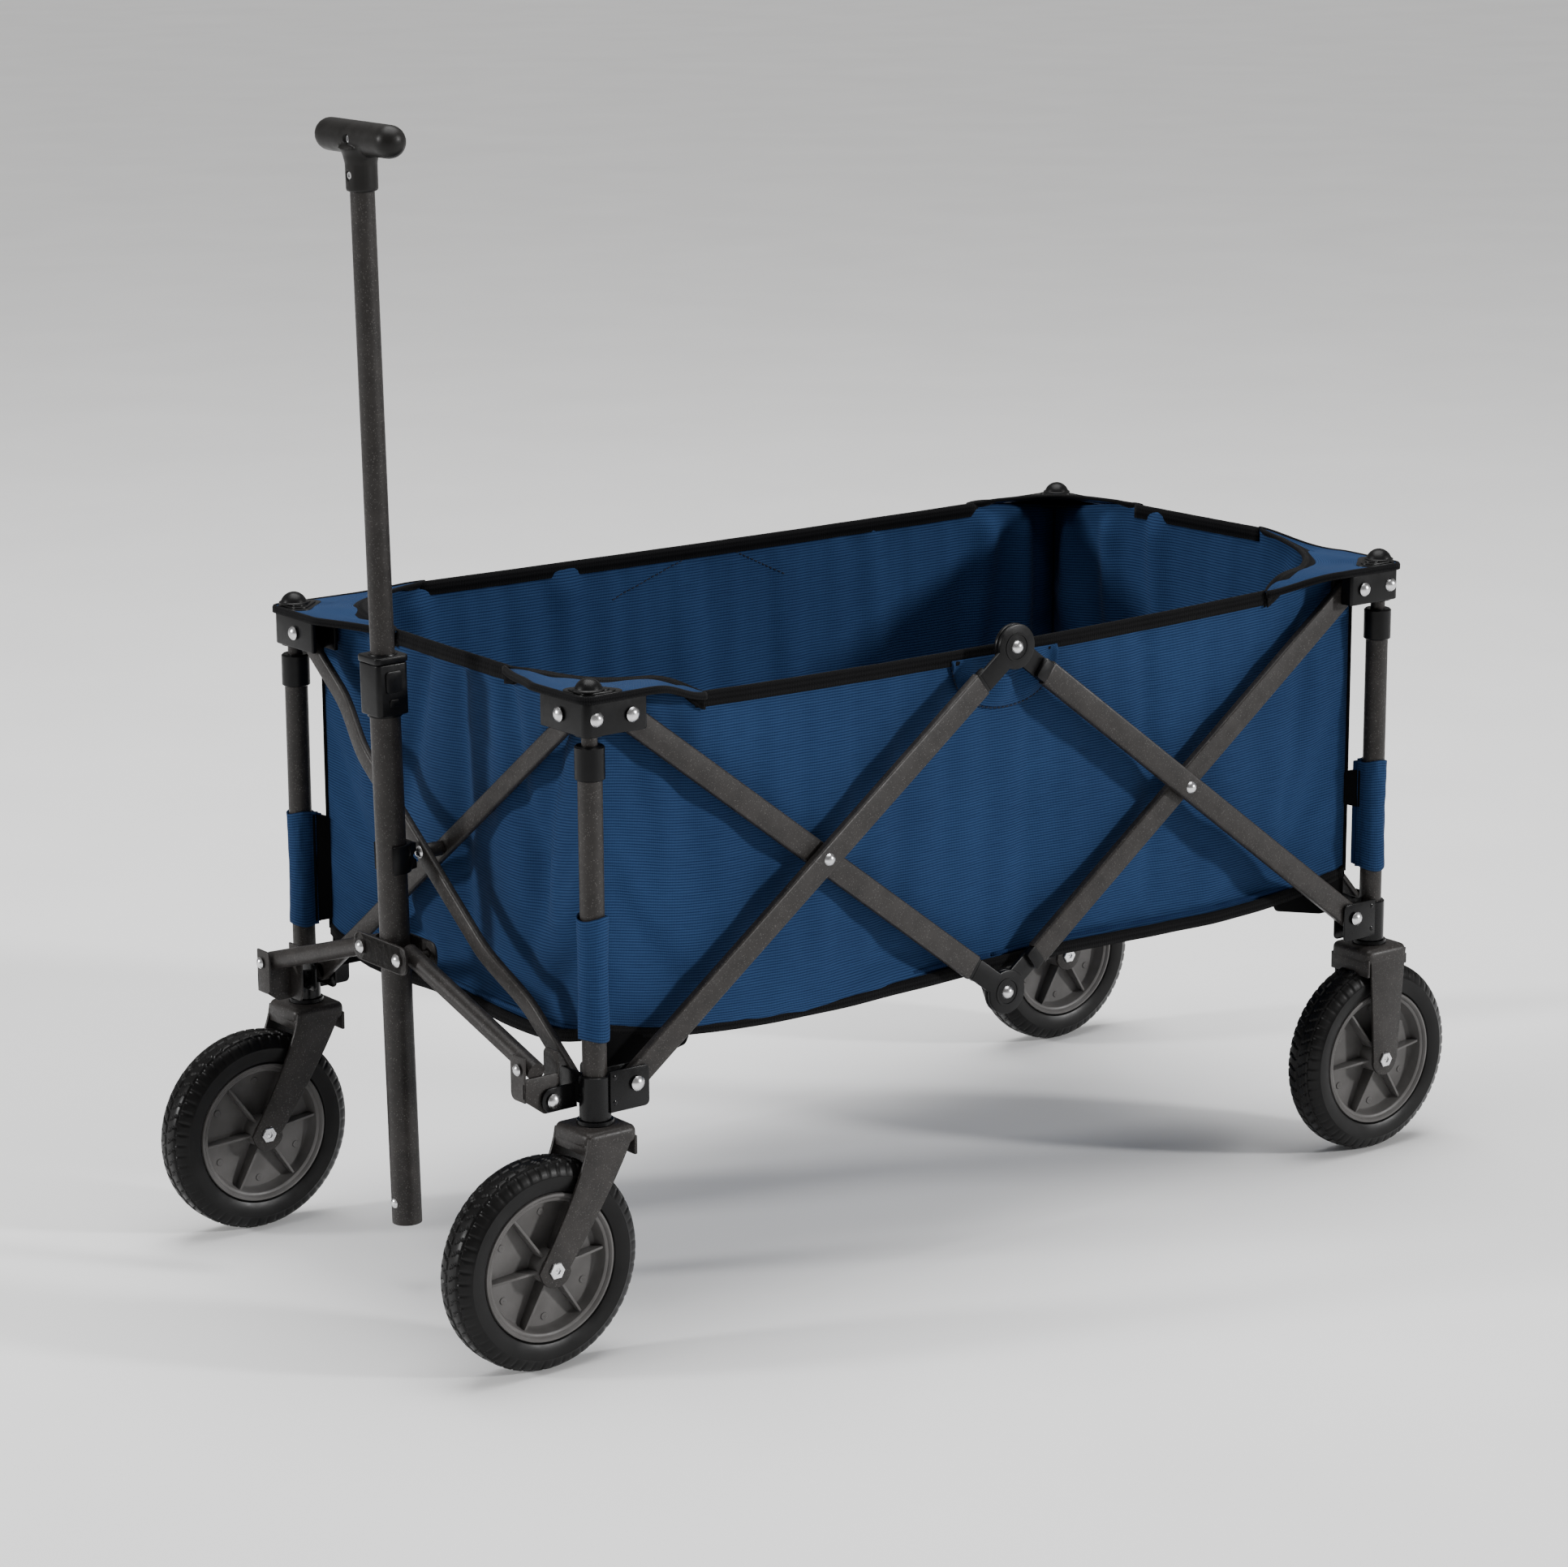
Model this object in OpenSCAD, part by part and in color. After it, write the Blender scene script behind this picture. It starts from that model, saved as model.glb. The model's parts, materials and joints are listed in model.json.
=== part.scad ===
// Folding utility wagon with a pull handle.
// Front is -X, rear is +X, near side is -Y, far side is +Y, and the ground is Z = 0.

/* [Frame] */
// Distance between front and rear post axes
post_pitch_x = 863; // [840:1:900]
// Distance between near and far post axes
post_pitch_y = 443; // [435:1:460]
// Horizontal reach of every crossing bar between its two end pivots
bar_span = 400; // [395:1:402]
// Height of the lower bar pivots
pivot_low_z = 226; // [222:1:230]
// Height of the upper bar pivots
pivot_high_z = 530; // [526:1:532]
// How far the origin lies behind the middle of the posts
origin_back = 28.5; // [0:0.5:40]

/* [Posts] */
// Outer radius of a post tube
post_r = 10; // [9:0.5:11]
// Wall of a post tube
post_wall = 1.7; // [1.2:0.1:2]
// Radius of the rod that slides in a post tube
rod_r = 6.5; // [6:0.5:7]
// Top of a post tube
post_top_z = 497; // [480:1:500]

/* [Bars] */
// Width of a side bar
bar_w = 22; // [18:1:22]
// Thickness of a side bar
bar_t = 8.5; // [7:0.5:8.5]
// Width of an end bar
end_bar_w = 16; // [12:1:16]
// Thickness of an end bar
end_bar_t = 7; // [6:0.5:7]
// Bow of the outer end bar at its middle
end_bow = 12; // [0:1:14]
// Radius of the round lobes at the middle hinges
lobe_r = 19; // [14:1:20]
// Radius of the rivets that the bars turn on
rivet_r = 4; // [3:0.5:5]

/* [Wheels] */
// Outer radius of a tyre
wheel_r = 89; // [80:1:90]
// Radius where tyre meets hub
hub_r = 62; // [55:1:65]
// Width of a tyre
tyre_w = 38; // [34:1:40]
// Distance from a caster's swivel axis to its axle
caster_trail = 57; // [50:1:60]
// Axle radius
axle_r = 5; // [4:0.5:6]

/* [Handle] */
// Distance from the post axes forward to the handle's axis
handle_fwd = 45.5; // [44:0.5:50]
// Forward lean of the handle in degrees
handle_lean = 1.1; // [0:0.1:2]
// Outer tube radius
outer_tube_r = 12.7; // [12:0.1:13]
// Inner tube radius
inner_tube_r = 10; // [8:0.5:10.5]
// Lowest point of the outer tube
outer_tube_low = 60; // [50:1:80]
// Top of the outer tube
outer_tube_high = 505; // [490:1:510]
// Height of the grip's axis
grip_z = 970; // [900:1:1000]
// Whole length of the grip
grip_len = 113; // [90:1:130]
// Radius of the grip
grip_r = 13.5; // [12.5:0.5:18]
// Radius of a yoke tube
yoke_r = 8; // [7:0.5:9]

/* [Tub] */
// Thickness of the fabric walls and floor
fabric_t = 4; // [3:0.5:8]
// Height of the tub's upper rim
rim_z = 536; // [520:1:538]
// Height of the underside of the tub
tub_low_z = 241; // [236:1:250]

/* [Hidden] */
$fn = 64;

fit = 0.06;                 // radial clearance of a running pin
slip = 0.35;                // radial clearance of a sliding rod
gap = 0.75;                 // side clearance of a bar in its fork

post_x = post_pitch_x / 2;
post_y = post_pitch_y / 2;
rise = pivot_high_z - pivot_low_z;
bar_angle = atan(rise / bar_span);
bar_len = sqrt(rise * rise + bar_span * bar_span);
side_in = post_x - bar_span;        // post axis to side bar pivot, along X
end_in = post_y - bar_span / 2;     // post axis to end bar pivot, along Y

inner_y = -4;                       // side bar layers, measured outward from the post axis
outer_y = 6;
inner_x = -5;                       // end bar layers, measured outward from the post axis
outer_x = 4.5;
fork_x = 9;                         // half gap of a bracket's end fork
plate_t = 2.2;                      // bracket sheet

lap_len = 50;                       // half-lapped stretch beside a middle hinge
lap_gap = 0.4;

sleeve_r = 13;                      // bottom bracket's tube
sleeve_low = 199;
sleeve_high = 236;
post_low = sleeve_low + 17;         // a post tube ends here, inside its bracket
stem_r = 6;                         // fork stem
head_r = 7;                         // rivet heads
head_h = 2;
rod_low = 250;
top_low = 516;                      // top bracket
top_high = 543;
wing_r = 13;

handle_x = -post_x - handle_fwd;
tilt_x = -post_x - 32.5;
tilt_z = 217;
ear_y0 = 206.5;                     // ear that the yoke bracket tilts on
ear_y1 = 209.5;
yoke_rivet_r = 3.5;
yoke_low_y = 198;
yoke_low_z = 245;
yoke_high_y = 28;
yoke_high_z = 298;
yoke_angle = atan((yoke_high_z - yoke_low_z) / (yoke_low_y - yoke_high_y));
yoke_len = sqrt(pow(yoke_high_z - yoke_low_z, 2) + pow(yoke_low_y - yoke_high_y, 2));

tub_x = 417;
tub_y = 207;

steel = [0.27, 0.27, 0.28];
black = [0.07, 0.07, 0.08];
blue = [0.13, 0.30, 0.62];
grey = [0.47, 0.48, 0.50];

// ---------- helpers ----------

// Moves everything so that the origin lies on the ground under the middle of the whole wagon
module placed() {
    translate([origin_back, 0, 0]) children();
}

// Draws on the far side, or mirrored on the near side
module on_side(side) {
    if (side == "near") mirror([0, 1, 0]) children();
    else children();
}

// Draws at the rear end, or mirrored at the front end
module on_end(end) {
    if (end == "front") mirror([1, 0, 0]) children();
    else children();
}

// Stands on a post's axis with X and Y pointing outward
module at_corner(end, side) {
    placed() on_side(side) on_end(end) translate([post_x, post_y, 0]) children();
}

// Draws round the handle's axis, which leans forward about the yoke's upper pivots
module on_handle() {
    placed() translate([handle_x, 0, yoke_high_z]) rotate([0, -handle_lean, 0])
        translate([0, 0, -yoke_high_z]) children();
}

// Fills y0 to y1 with an outline drawn in X and Z
module slab_y(y0, y1) {
    rotate([90, 0, 0]) translate([0, 0, -y1]) linear_extrude(y1 - y0) children();
}

// Fills x0 to x1 with an outline drawn in Y and Z
module slab_x(x0, x1) {
    rotate([90, 0, 90]) translate([0, 0, x0]) linear_extrude(x1 - x0) children();
}

// Round rod along Y
module rod_y(y0, y1, r) {
    translate([0, y1, 0]) rotate([90, 0, 0]) cylinder(h = y1 - y0, r = r);
}

// Round rod along X
module rod_x(x0, x1, r) {
    translate([x0, 0, 0]) rotate([0, 90, 0]) cylinder(h = x1 - x0, r = r);
}

// Tongue outline that runs from the post to a pivot and ends round
module tongue(reach, r) {
    translate([-reach, 0]) circle(r = r);
    translate([-reach, -r]) square([reach, 2 * r]);
}

// ---------- corner parts ----------

// Sheet steel bracket that holds a post, the low ends of the bars and the wheel fork
module bottom_bracket(end, side) {
    tongue_r = 12;
    end_tongue_r = 11;
    color(steel) at_corner(end, side) {
        difference() {
            union() {
                translate([0, 0, sleeve_low]) cylinder(h = sleeve_high - sleeve_low, r = sleeve_r);
                translate([0, 0, sleeve_low - 4]) cylinder(h = 4, r = 16);
                translate([0, 0, pivot_low_z]) {
                    slab_y(outer_y + bar_t / 2 + gap, outer_y + bar_t / 2 + gap + plate_t)
                        tongue(side_in, tongue_r);
                    slab_y(outer_y - bar_t / 2 - gap - plate_t, outer_y - bar_t / 2 - gap)
                        tongue(side_in, tongue_r);
                    slab_x(fork_x, fork_x + plate_t) tongue(end_in, end_tongue_r);
                    slab_x(-fork_x - plate_t, -fork_x) tongue(end_in, end_tongue_r);
                }
                if (end == "front") yoke_flange();
            }
            translate([0, 0, sleeve_low - 5]) cylinder(h = post_low - sleeve_low + 6, r = stem_r + fit);
            translate([0, 0, post_low]) cylinder(h = 30, r = post_r);
        }
        translate([-side_in, 0, pivot_low_z]) {
            rod_y(outer_y - bar_t / 2 - gap - plate_t, outer_y + bar_t / 2 + gap + plate_t, rivet_r);
            rod_y(outer_y + bar_t / 2 + gap + plate_t, outer_y + bar_t / 2 + gap + plate_t + head_h, head_r);
        }
        translate([0, -end_in, pivot_low_z]) {
            rod_x(-fork_x - plate_t, fork_x + plate_t, rivet_r);
            if (end == "rear") rod_x(fork_x + plate_t, fork_x + plate_t + head_h, head_r);
        }
    }
}

// Forward ear that carries the handle's tilting bracket
module yoke_flange() {
    reach = -(tilt_x + post_x);
    slab_y(ear_y0 - post_y, ear_y1 - post_y) {
        translate([reach, tilt_z]) circle(r = 10);
        translate([fork_x, tilt_z - 10]) square([reach - fork_x, 20]);
    }
}

// Steel tube of a post
module post_tube(end, side) {
    color(steel) at_corner(end, side) difference() {
        translate([0, 0, post_low]) cylinder(h = post_top_z - post_low, r = post_r);
        translate([0, 0, sleeve_low]) cylinder(h = post_top_z, r = post_r - post_wall);
    }
}

// Plastic collar that guides the rod at the top of a post tube
module post_collar(end, side) {
    collar_low = 479;
    collar_high = 507;
    color(black) at_corner(end, side) difference() {
        translate([0, 0, collar_low]) cylinder(h = collar_high - collar_low, r = post_r + 2.2);
        translate([0, 0, collar_low - 1]) cylinder(h = post_top_z - collar_low + 1, r = post_r);
        translate([0, 0, collar_low]) cylinder(h = 40, r = rod_r + slip);
    }
}

// Steel rod that hangs from the top bracket into the post tube
module post_rod(end, side) {
    color(steel) at_corner(end, side) translate([0, 0, rod_low]) cylinder(h = top_high - rod_low, r = rod_r);
}

// Wing outline from the post to a pivot, as tall as the bracket and round at its end
module wing(reach) {
    translate([-reach, (top_low + top_high) / 2]) circle(r = wing_r);
    translate([-reach, top_low]) square([reach, top_high - top_low]);
}

// Plastic bracket at the top of a post, with two forks for bars and a domed cap
module top_bracket(end, side) {
    cheek_t = 3.5;
    face_y = 14;
    face_x = 13;
    bar_y0 = inner_y - bar_t / 2 - gap;
    bar_y1 = inner_y + bar_t / 2 + gap;
    color(black) at_corner(end, side) difference() {
        union() {
            translate([0, 0, top_low]) cylinder(h = top_high - top_low, r = 12.5);
            slab_y(bar_y1, face_y) wing(side_in);
            slab_y(bar_y0 - cheek_t, bar_y0) wing(side_in);
            slab_x(fork_x, face_x) wing(end_in);
            slab_x(-face_x, -fork_x) wing(end_in);
            translate([0, 0, top_high]) linear_extrude(4)
                polygon([[face_x, face_y], [-side_in - wing_r, face_y], [face_x, -end_in - wing_r]]);
            translate([0, 0, top_high + 4]) dome_cap();
            translate([-side_in, 0, pivot_high_z]) {
                rod_y(bar_y0 - cheek_t, face_y + head_h, rivet_r);
                rod_y(face_y, face_y + head_h, head_r);
            }
            translate([0, -end_in, pivot_high_z]) {
                rod_x(-face_x, face_x + head_h, rivet_r);
                rod_x(face_x, face_x + head_h, head_r);
            }
        }
        translate([0, 0, top_low - 1]) cylinder(h = top_high - top_low + 1, r = rod_r);
    }
}

// Shallow dome on a bracket's top plate
module dome_cap() {
    cap_r = 12;
    cap_h = 8;
    ball_r = (cap_r * cap_r + cap_h * cap_h) / (2 * cap_h);
    intersection() {
        translate([0, 0, cap_h - ball_r]) sphere(r = ball_r);
        cylinder(h = cap_h + 1, r = cap_r + 1);
    }
}

// ---------- bars ----------

// Side bar along +X from its post pivot, in the layer around y, half-lapped at the middle hinge.
// lap is 1 for the outward half of the layer and -1 for the inward half.
module side_bar(y, lap, hinge_pin, cross_pin) {
    y0 = y - bar_t / 2;
    y1 = y + bar_t / 2;
    l0 = lap > 0 ? y + lap_gap / 2 : y0;
    l1 = lap > 0 ? y1 : y - lap_gap / 2;
    difference() {
        union() {
            slab_y(y0, y1) {
                circle(r = bar_w / 2);
                translate([0, -bar_w / 2]) square([bar_len - lap_len, bar_w]);
            }
            slab_y(l0, l1) {
                translate([bar_len - lap_len - 1, -bar_w / 2]) square([lap_len + 1, bar_w]);
                translate([bar_len, 0]) circle(r = lobe_r);
            }
        }
        rod_y(y0 - 1, y1 + 1, rivet_r + fit);
        if (!hinge_pin) translate([bar_len, 0, 0]) rod_y(y0 - 1, y1 + 1, rivet_r + fit);
        if (!cross_pin) translate([bar_len / 2, 0, 0]) rod_y(y0 - 1, y1 + 1, rivet_r + fit);
    }
    if (hinge_pin) translate([bar_len, 0, 0]) {
        rod_y(y0 - 2.5, l0 + 1, rivet_r);
        rod_y(y0 - 2.5, y0 - 0.4, head_r);
        rod_y(l1, l1 + head_h, head_r);
    }
    if (cross_pin) translate([bar_len / 2, 0, 0]) {
        rod_y(inner_y - bar_t / 2 - 2.5, y0 + 1, rivet_r);
        rod_y(inner_y - bar_t / 2 - 2.5, inner_y - bar_t / 2 - 0.4, head_r);
        rod_y(y1, y1 + head_h, head_r);
    }
}

// Bar from the low end bracket to the upper middle hinge, in the outward layer
module side_bar_outer(end, side) {
    front = end == "front";
    color(steel) placed() on_side(side) on_end(front ? "rear" : "front")
        translate([-bar_span, post_y, pivot_low_z]) rotate([0, -bar_angle, 0])
            side_bar(outer_y, front ? 1 : -1, front, true);
}

// Bar from the top end bracket to the lower middle hinge, in the inward layer
module side_bar_inner(end, side) {
    front = end == "front";
    color(steel) placed() on_side(side) on_end(front ? "rear" : "front")
        translate([-bar_span, post_y, pivot_high_z]) rotate([0, bar_angle, 0])
            side_bar(inner_y, front ? 1 : -1, front, false);
}

// Straight end bar along +Y from its pivot
module straight_end_bar() {
    difference() {
        slab_x(inner_x - end_bar_t / 2, inner_x + end_bar_t / 2) {
            circle(r = end_bar_w / 2);
            translate([0, -end_bar_w / 2]) square([bar_len, end_bar_w]);
            translate([bar_len, 0]) circle(r = end_bar_w / 2);
        }
        for (y = [0, bar_len / 2, bar_len]) translate([0, y, 0]) rod_x(-20, 20, rivet_r + fit);
    }
}

// Side outline of the bowed end bar: straight at both ends, pushed outward at its middle
module bowed_outline() {
    ramp0 = 70;
    ramp1 = 150;
    x0 = outer_x - end_bar_t / 2;
    x1 = outer_x + end_bar_t / 2;
    polygon([
        [x0, 0], [x0, ramp0], [x0 + end_bow, ramp1], [x0 + end_bow, bar_len - ramp1],
        [x0, bar_len - ramp0], [x0, bar_len],
        [x1, bar_len], [x1, bar_len - ramp0], [x1 + end_bow, bar_len - ramp1],
        [x1 + end_bow, ramp1], [x1, ramp0], [x1, 0]
    ]);
}

// Bowed end bar along +Y from its pivot, with the crossing rivet
module bowed_end_bar() {
    difference() {
        union() {
            translate([0, 0, -end_bar_w / 2]) linear_extrude(end_bar_w) bowed_outline();
            for (y = [0, bar_len]) translate([0, y, 0])
                rod_x(outer_x - end_bar_t / 2, outer_x + end_bar_t / 2, end_bar_w / 2);
        }
        for (y = [0, bar_len]) translate([0, y, 0]) rod_x(-20, 20, rivet_r + fit);
    }
    translate([0, bar_len / 2, 0]) {
        rod_x(inner_x - end_bar_t / 2 - 2.3, outer_x + end_bow, rivet_r);
        rod_x(inner_x - end_bar_t / 2 - 2.3, inner_x - end_bar_t / 2 - 0.4, 6.5);
        rod_x(inner_x + end_bar_t / 2 + 0.4, outer_x + end_bow - end_bar_t / 2, 6);
        rod_x(outer_x + end_bow + end_bar_t / 2, outer_x + end_bow + end_bar_t / 2 + head_h, head_r);
    }
}

// Bowed bar from the near low bracket to the far top bracket
module end_bar_outer(end) {
    color(steel) placed() on_end(end) translate([post_x, -bar_span / 2, pivot_low_z])
        rotate([bar_angle, 0, 0]) bowed_end_bar();
}

// Straight bar from the near top bracket to the far low bracket
module end_bar_inner(end) {
    color(steel) placed() on_end(end) translate([post_x, -bar_span / 2, pivot_high_z])
        rotate([-bar_angle, 0, 0]) straight_end_bar();
}

// ---------- wheels ----------

// Fork with two legs, a stem and a through axle, trail is how far the axle stands outward
module fork(end, side, trail) {
    leg_in = 21.5;
    leg_t = 3;
    crown_low = 165;
    crown_high = 194.5;
    crown_half = 24;
    color(steel) at_corner(end, side) {
        difference() {
            union() {
                slab_y(-leg_in - leg_t, leg_in + leg_t)
                    polygon([[-crown_half, crown_high], [crown_half, crown_high],
                        [crown_half + trail * 0.45, crown_low], [-crown_half, crown_low]]);
                for (s = [-1, 1]) slab_y(s > 0 ? leg_in : -leg_in - leg_t, s > 0 ? leg_in + leg_t : -leg_in) {
                    polygon([[-crown_half, crown_low + 1], [crown_half + trail * 0.45, crown_low + 1],
                        [trail + 13, wheel_r + 4], [trail + 13, wheel_r], [trail - 13, wheel_r],
                        [trail * 0.55 - 14, wheel_r + 30]]);
                    translate([trail, wheel_r]) circle(r = 13);
                }
            }
            translate([trail, 0, wheel_r]) rod_y(-leg_in, leg_in, wheel_r + 4);
        }
        translate([0, 0, crown_high]) cylinder(h = 20, r = stem_r);
        translate([trail, 0, wheel_r]) {
            rod_y(-leg_in - leg_t, leg_in + leg_t, axle_r);
            for (s = [0, 1]) mirror([0, s, 0]) rod_y(leg_in + leg_t, leg_in + leg_t + 5, 9);
        }
    }
}

// Moulded hub with a disc recessed between its rim and its boss on both faces
module hub(end, side, trail) {
    rim_w = 32;
    disc_t = 8;
    boss_r = 13;
    boss_w = 40;
    color(grey) at_corner(end, side) translate([trail, 0, wheel_r]) rotate([90, 0, 0]) rotate_extrude()
        polygon([
            [axle_r + fit, -boss_w / 2], [boss_r, -boss_w / 2], [boss_r, -disc_t / 2],
            [hub_r - 7, -disc_t / 2], [hub_r - 7, -rim_w / 2], [hub_r, -rim_w / 2],
            [hub_r, rim_w / 2], [hub_r - 7, rim_w / 2], [hub_r - 7, disc_t / 2],
            [boss_r, disc_t / 2], [boss_r, boss_w / 2], [axle_r + fit, boss_w / 2]
        ]);
}

// Solid tyre around the hub
module tyre(end, side, trail) {
    side_w = tyre_w / 2;
    color(black) at_corner(end, side) translate([trail, 0, wheel_r]) rotate([90, 0, 0]) rotate_extrude()
        polygon([[hub_r, -side_w + 4], [hub_r + 3, -side_w + 1], [wheel_r - 12, -side_w],
            [wheel_r - 4, -side_w + 4], [wheel_r, -side_w + 11], [wheel_r, side_w - 11],
            [wheel_r - 4, side_w - 4], [wheel_r - 12, side_w], [hub_r + 3, side_w - 1],
            [hub_r, side_w - 4]]);
}

// ---------- handle ----------

// Folded bracket that tilts on the post bracket's ear and holds a yoke tube.
// Its lower front corner is cut off, so that it clears the fork when the handle is down.
module yoke_bracket(side) {
    y0 = 186;
    y1 = ear_y0 - 0.5;
    low_z = tilt_z - 11;
    cut_z = tilt_z + 5;
    cheek_z = 232;
    high_z = 256;
    front_x = handle_x - 12;
    back_x = handle_x + 22;
    open_pivot = side == "far";
    color(steel) placed() on_side(side) {
        difference() {
            union() {
                translate([front_x, y0, cut_z]) cube([2, y1 - y0, high_z - cut_z]);
                translate([back_x - 2, y0, low_z]) cube([2, y1 - y0, high_z - low_z]);
                slab_y(y1 - 3, y1) polygon([[back_x, low_z], [tilt_x - 6, low_z],
                    [front_x, cut_z], [front_x, cheek_z], [back_x, cheek_z]]);
            }
            translate([tilt_x, 0, tilt_z]) rod_y(y0, y1 + 1, rivet_r + fit);
        }
        translate([0, yoke_low_y, yoke_low_z]) {
            rod_x(front_x - head_h, front_x + (open_pivot ? 1 : 0), 6);
            if (open_pivot) rod_x(back_x - 1, back_x + head_h, 6);
            else {
                rod_x(front_x, back_x + head_h, yoke_rivet_r);
                rod_x(back_x, back_x + head_h, 6);
            }
        }
    }
}

// Bottom bracket of a front corner, with the rivet on which a yoke bracket tilts
module bottom_bracket_front(side) {
    inner_end = 201;
    bottom_bracket("front", side);
    color(steel) placed() on_side(side) translate([tilt_x, 0, tilt_z]) {
        rod_y(inner_end, ear_y0 + 1.5, rivet_r);
        rod_y(inner_end, inner_end + 1.6, head_r);
        rod_y(ear_y1, ear_y1 + head_h, head_r);
    }
}

// Tube from a tilting bracket up to the handle bracket
module yoke_tube(side) {
    over_low = side == "far" ? 4 : 8;
    over_high = 8;
    color(steel) placed() on_side(side)
        translate([handle_x, yoke_low_y, yoke_low_z]) rotate([-yoke_angle, 0, 0]) difference() {
            rod_y(-yoke_len - over_high, over_low, yoke_r);
            if (side == "near") rod_x(-20, 20, yoke_rivet_r + fit);
            translate([0, -yoke_len, 0]) rod_x(-20, 20, yoke_rivet_r + fit);
        }
}

// Two plates that hold the handle and both yoke tubes
module handle_bracket() {
    plate_x = outer_tube_r + 0.7;       // room for the tube's lean
    half_h = 12;
    color(steel) placed() translate([handle_x, 0, yoke_high_z]) {
        for (s = [0, 1]) mirror([s, 0, 0]) slab_x(plate_x, plate_x + 2.2) {
            translate([-yoke_high_y, -half_h]) square([2 * yoke_high_y, 2 * half_h]);
            for (y = [-1, 1]) translate([y * yoke_high_y, 0]) circle(r = half_h);
        }
        for (y = [-1, 1]) translate([0, y * yoke_high_y, 0]) {
            rod_x(-plate_x - 4, plate_x + 4, yoke_rivet_r);
            for (s = [0, 1]) mirror([s, 0, 0]) rod_x(plate_x + 2.2, plate_x + 4.2, 6);
        }
    }
}

// Lower tube of the telescoping handle
module handle_outer_tube() {
    color(steel) on_handle() difference() {
        translate([0, 0, outer_tube_low])
            cylinder(h = outer_tube_high - outer_tube_low, r = outer_tube_r);
        translate([0, 0, outer_tube_low - 1]) cylinder(h = 500, r = inner_tube_r + 1.5);
    }
}

// Plastic lock collar at the top of the outer tube
module handle_lock_collar() {
    low = 501;
    high = 550;
    half_w = 15;
    corner_r = 4;
    flat = half_w - corner_r;
    color(black) on_handle() difference() {
        translate([0, 0, low]) linear_extrude(high - low) {
            square([2 * half_w, 2 * flat], center = true);
            square([2 * flat, 2 * half_w], center = true);
            for (x = [-flat, flat], y = [-flat, flat]) translate([x, y]) circle(r = corner_r);
        }
        translate([0, 0, low - 1]) cylinder(h = outer_tube_high - low + 1, r = outer_tube_r);
        translate([0, 0, low]) cylinder(h = 60, r = inner_tube_r + slip);
    }
}

// Snap hook on the outer tube that reaches back to the crossing of the front bars
module handle_clip() {
    mid_z = (pivot_low_z + pivot_high_z) / 2;
    color(black) on_handle() translate([0, 0, mid_z]) difference() {
        union() {
            translate([0, 0, -15]) cylinder(h = 30, r = outer_tube_r + 3);
            translate([outer_tube_r - 1, -11, -12]) cube([8, 22, 24]);
        }
        translate([0, 0, -20]) cylinder(h = 40, r = outer_tube_r);
    }
}

// Upper tube that slides in the outer tube
module handle_inner_tube() {
    low = 445;
    color(steel) on_handle() translate([0, 0, low]) difference() {
        cylinder(h = grip_z - grip_r - low, r = inner_tube_r);
        translate([0, 0, -1]) cylinder(h = 460, r = inner_tube_r - 1.5);
    }
}

// T grip with a neck
module handle_grip() {
    half = grip_len / 2 - grip_r;
    neck = 42;
    color(black) on_handle() translate([0, 0, grip_z]) difference() {
        union() {
            rod_y(-half, half, grip_r);
            for (y = [-half, half]) translate([0, y, 0]) sphere(r = grip_r);
            translate([0, 0, -neck]) cylinder(h = neck - grip_r / 2, r = inner_tube_r + 3);
        }
        translate([0, 0, -neck - 1]) cylinder(h = neck + 1 - grip_r, r = inner_tube_r);
    }
}

// ---------- tub ----------

// Four fabric walls in one closed ring
module tub_walls() {
    color(blue) placed() difference() {
        translate([-tub_x, -tub_y, tub_low_z]) cube([2 * tub_x, 2 * tub_y, rim_z - tub_low_z]);
        translate([-tub_x + fabric_t, -tub_y + fabric_t, tub_low_z - 1])
            cube([2 * (tub_x - fabric_t), 2 * (tub_y - fabric_t), rim_z]);
    }
}

// One half of the padded floor
module tub_floor(end) {
    edge = 1;
    color(blue) placed() on_end(end) translate([edge / 2, -tub_y + fabric_t + edge, tub_low_z])
        cube([tub_x - fabric_t - 1.5 * edge, 2 * (tub_y - fabric_t - edge), 8]);
}

bottom_bracket_front("near");  // bottom_bracket_fn
bottom_bracket_front("far");  // bottom_bracket_ff
bottom_bracket("rear", "near");  // bottom_bracket_rn
bottom_bracket("rear", "far");  // bottom_bracket_rf
post_tube("front", "near");  // post_tube_fn
post_tube("front", "far");  // post_tube_ff
post_tube("rear", "near");  // post_tube_rn
post_tube("rear", "far");  // post_tube_rf
post_collar("front", "near");  // post_collar_fn
post_collar("front", "far");  // post_collar_ff
post_collar("rear", "near");  // post_collar_rn
post_collar("rear", "far");  // post_collar_rf
post_rod("front", "near");  // post_rod_fn
post_rod("front", "far");  // post_rod_ff
post_rod("rear", "near");  // post_rod_rn
post_rod("rear", "far");  // post_rod_rf
top_bracket("front", "near");  // top_bracket_fn
top_bracket("front", "far");  // top_bracket_ff
top_bracket("rear", "near");  // top_bracket_rn
top_bracket("rear", "far");  // top_bracket_rf
side_bar_outer("front", "near");  // side_bar_front_outer_near
side_bar_inner("front", "near");  // side_bar_front_inner_near
side_bar_outer("rear", "near");  // side_bar_rear_outer_near
side_bar_inner("rear", "near");  // side_bar_rear_inner_near
side_bar_outer("front", "far");  // side_bar_front_outer_far
side_bar_inner("front", "far");  // side_bar_front_inner_far
side_bar_outer("rear", "far");  // side_bar_rear_outer_far
side_bar_inner("rear", "far");  // side_bar_rear_inner_far
end_bar_outer("front");  // front_bar_outer
end_bar_inner("front");  // front_bar_inner
end_bar_outer("rear");  // rear_bar_outer
end_bar_inner("rear");  // rear_bar_inner
fork("front", "near", caster_trail);  // caster_fork_near
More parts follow.
